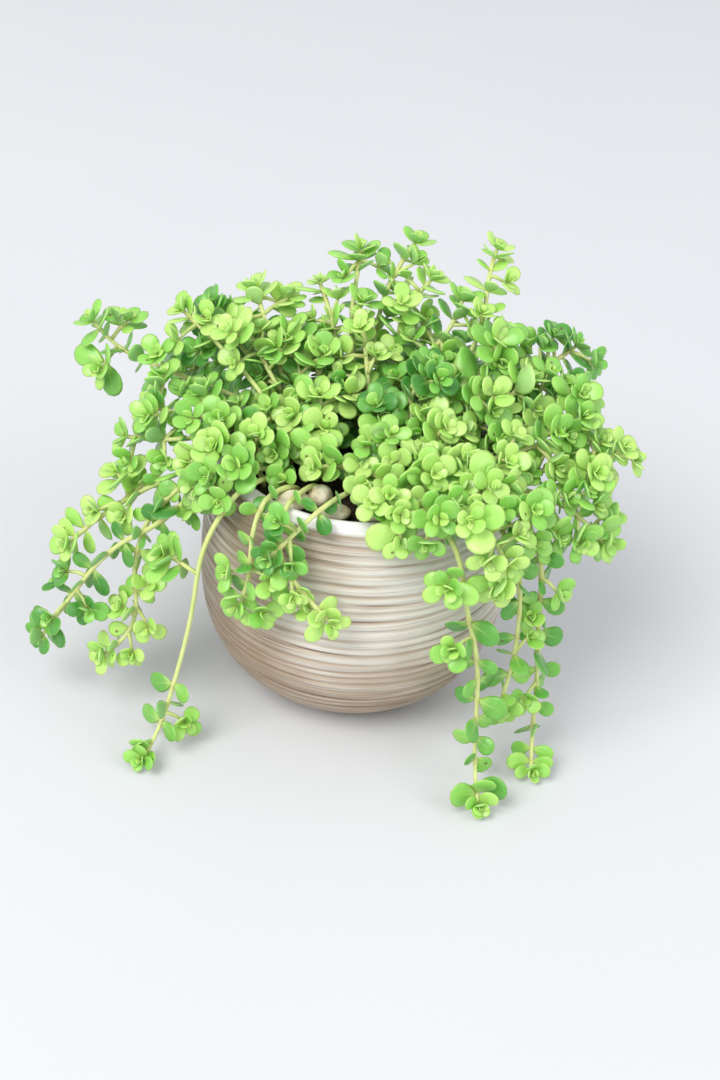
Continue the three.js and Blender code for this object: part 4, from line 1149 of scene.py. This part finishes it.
def grow_stem(bm, line, joints, joint_layer, age_layer):
    end = len(line.points) - 1
    previous = None
    for i, (centre, frame) in enumerate(zip(line.points, frames_along(line.points))):
        along, side, other = frame
        swell = max([math.exp(-((np.linalg.norm(centre - j) / 1.6) ** 2)) for j in joints], default=0)
        radius = line.radius * (1.12 - 0.38 * i / end) * (1 + 0.28 * swell)
        turn = Matrix((side, other, along)).transposed()
        size = Vector((radius, radius, radius)) * MM
        place = Matrix.LocRotScale(Vector(centre) * MM, turn, size)
        if previous is None:
            made = bmesh.ops.create_circle(
                bm, cap_ends=True, segments=STEM_CORNERS, radius=1, matrix=place)
            ring = made["verts"]
            edges = [e for e in bm.edges if e.verts[0] in ring]
        else:
            made = bmesh.ops.extrude_edge_only(bm, edges=edges)["geom"]
            ring = [g for g in made if isinstance(g, bmesh.types.BMVert)]
            edges = [g for g in made if isinstance(g, bmesh.types.BMEdge)]
            edges = [e for e in edges if all(v in ring for v in e.verts)]
            bmesh.ops.transform(bm, matrix=place @ previous.inverted(), verts=ring)
        for vert in ring:
            vert[joint_layer] = swell
            vert[age_layer] = 1 - i / end
        previous = place
    bmesh.ops.contextual_create(bm, geom=edges)


def grow_leaf(bm, leaf, draw, layers):
    kind = "heart" if leaf.place.rank in (HEART, BUD) else "old" if leaf.age > 0.55 else "grown"
    masters = MASTERS[kind]
    master = masters[int(draw() * len(masters))]
    before = len(bm.verts)
    bm.from_mesh(master)
    bm.verts.ensure_lookup_table()
    fresh = bm.verts[before:]
    side = np.cross(leaf.normal, leaf.forward)
    turn = Matrix((leaf.forward, side, leaf.normal)).transposed()
    size = leaf.length * MM
    stretch = Vector((size, size * (0.92 + 0.16 * draw()), size * (0.85 + 0.3 * draw())))
    bmesh.ops.transform(
        bm, matrix=Matrix.LocRotScale(Vector(leaf.base) * MM, turn, stretch), verts=fresh)
    chance, fleck = draw(), float(draw() < FLECK_SHARE)
    for vert in fresh:
        vert[layers["age"]] = leaf.age
        vert[layers["chance"]] = chance
        vert[layers["fleck"]] = fleck


def leafy_stem(owner, stem):
    bm = bmesh.new()
    layers = {key: bm.verts.layers.float.new(key) for key in (*LEAF_MARKS, "joint")}
    own_leaves = [leaf for leaf in leaves if leaf.place.line.owner == owner]
    for line in lines:
        if line.owner == owner:
            joints = [leaf.base for leaf in own_leaves
                      if leaf.place.line is line and leaf.place.rank >= LOWER]
            grow_stem(bm, line, joints, layers["joint"], layers["age"])
    bmesh.ops.recalc_face_normals(bm, faces=bm.faces)
    for face in bm.faces:
        face.material_index = 1
    draw = seeded(300 + owner)
    for leaf in own_leaves:
        grow_leaf(bm, leaf, draw, layers)
    return piece(bm, "stem_" + stem.name, [LEAF_FINISHES[stem.tone], bark.material],
                 "leaf_" + stem.tone, ["leafy_stem_" + stem.name], smooth=0)


triangles = 0
for owner, stem in enumerate(STEMS):
    made = leafy_stem(owner, stem)
    triangles += sum(len(face.vertices) - 2 for face in made.data.polygons)
print("leafy stems:", len(STEMS), "triangles:", triangles)
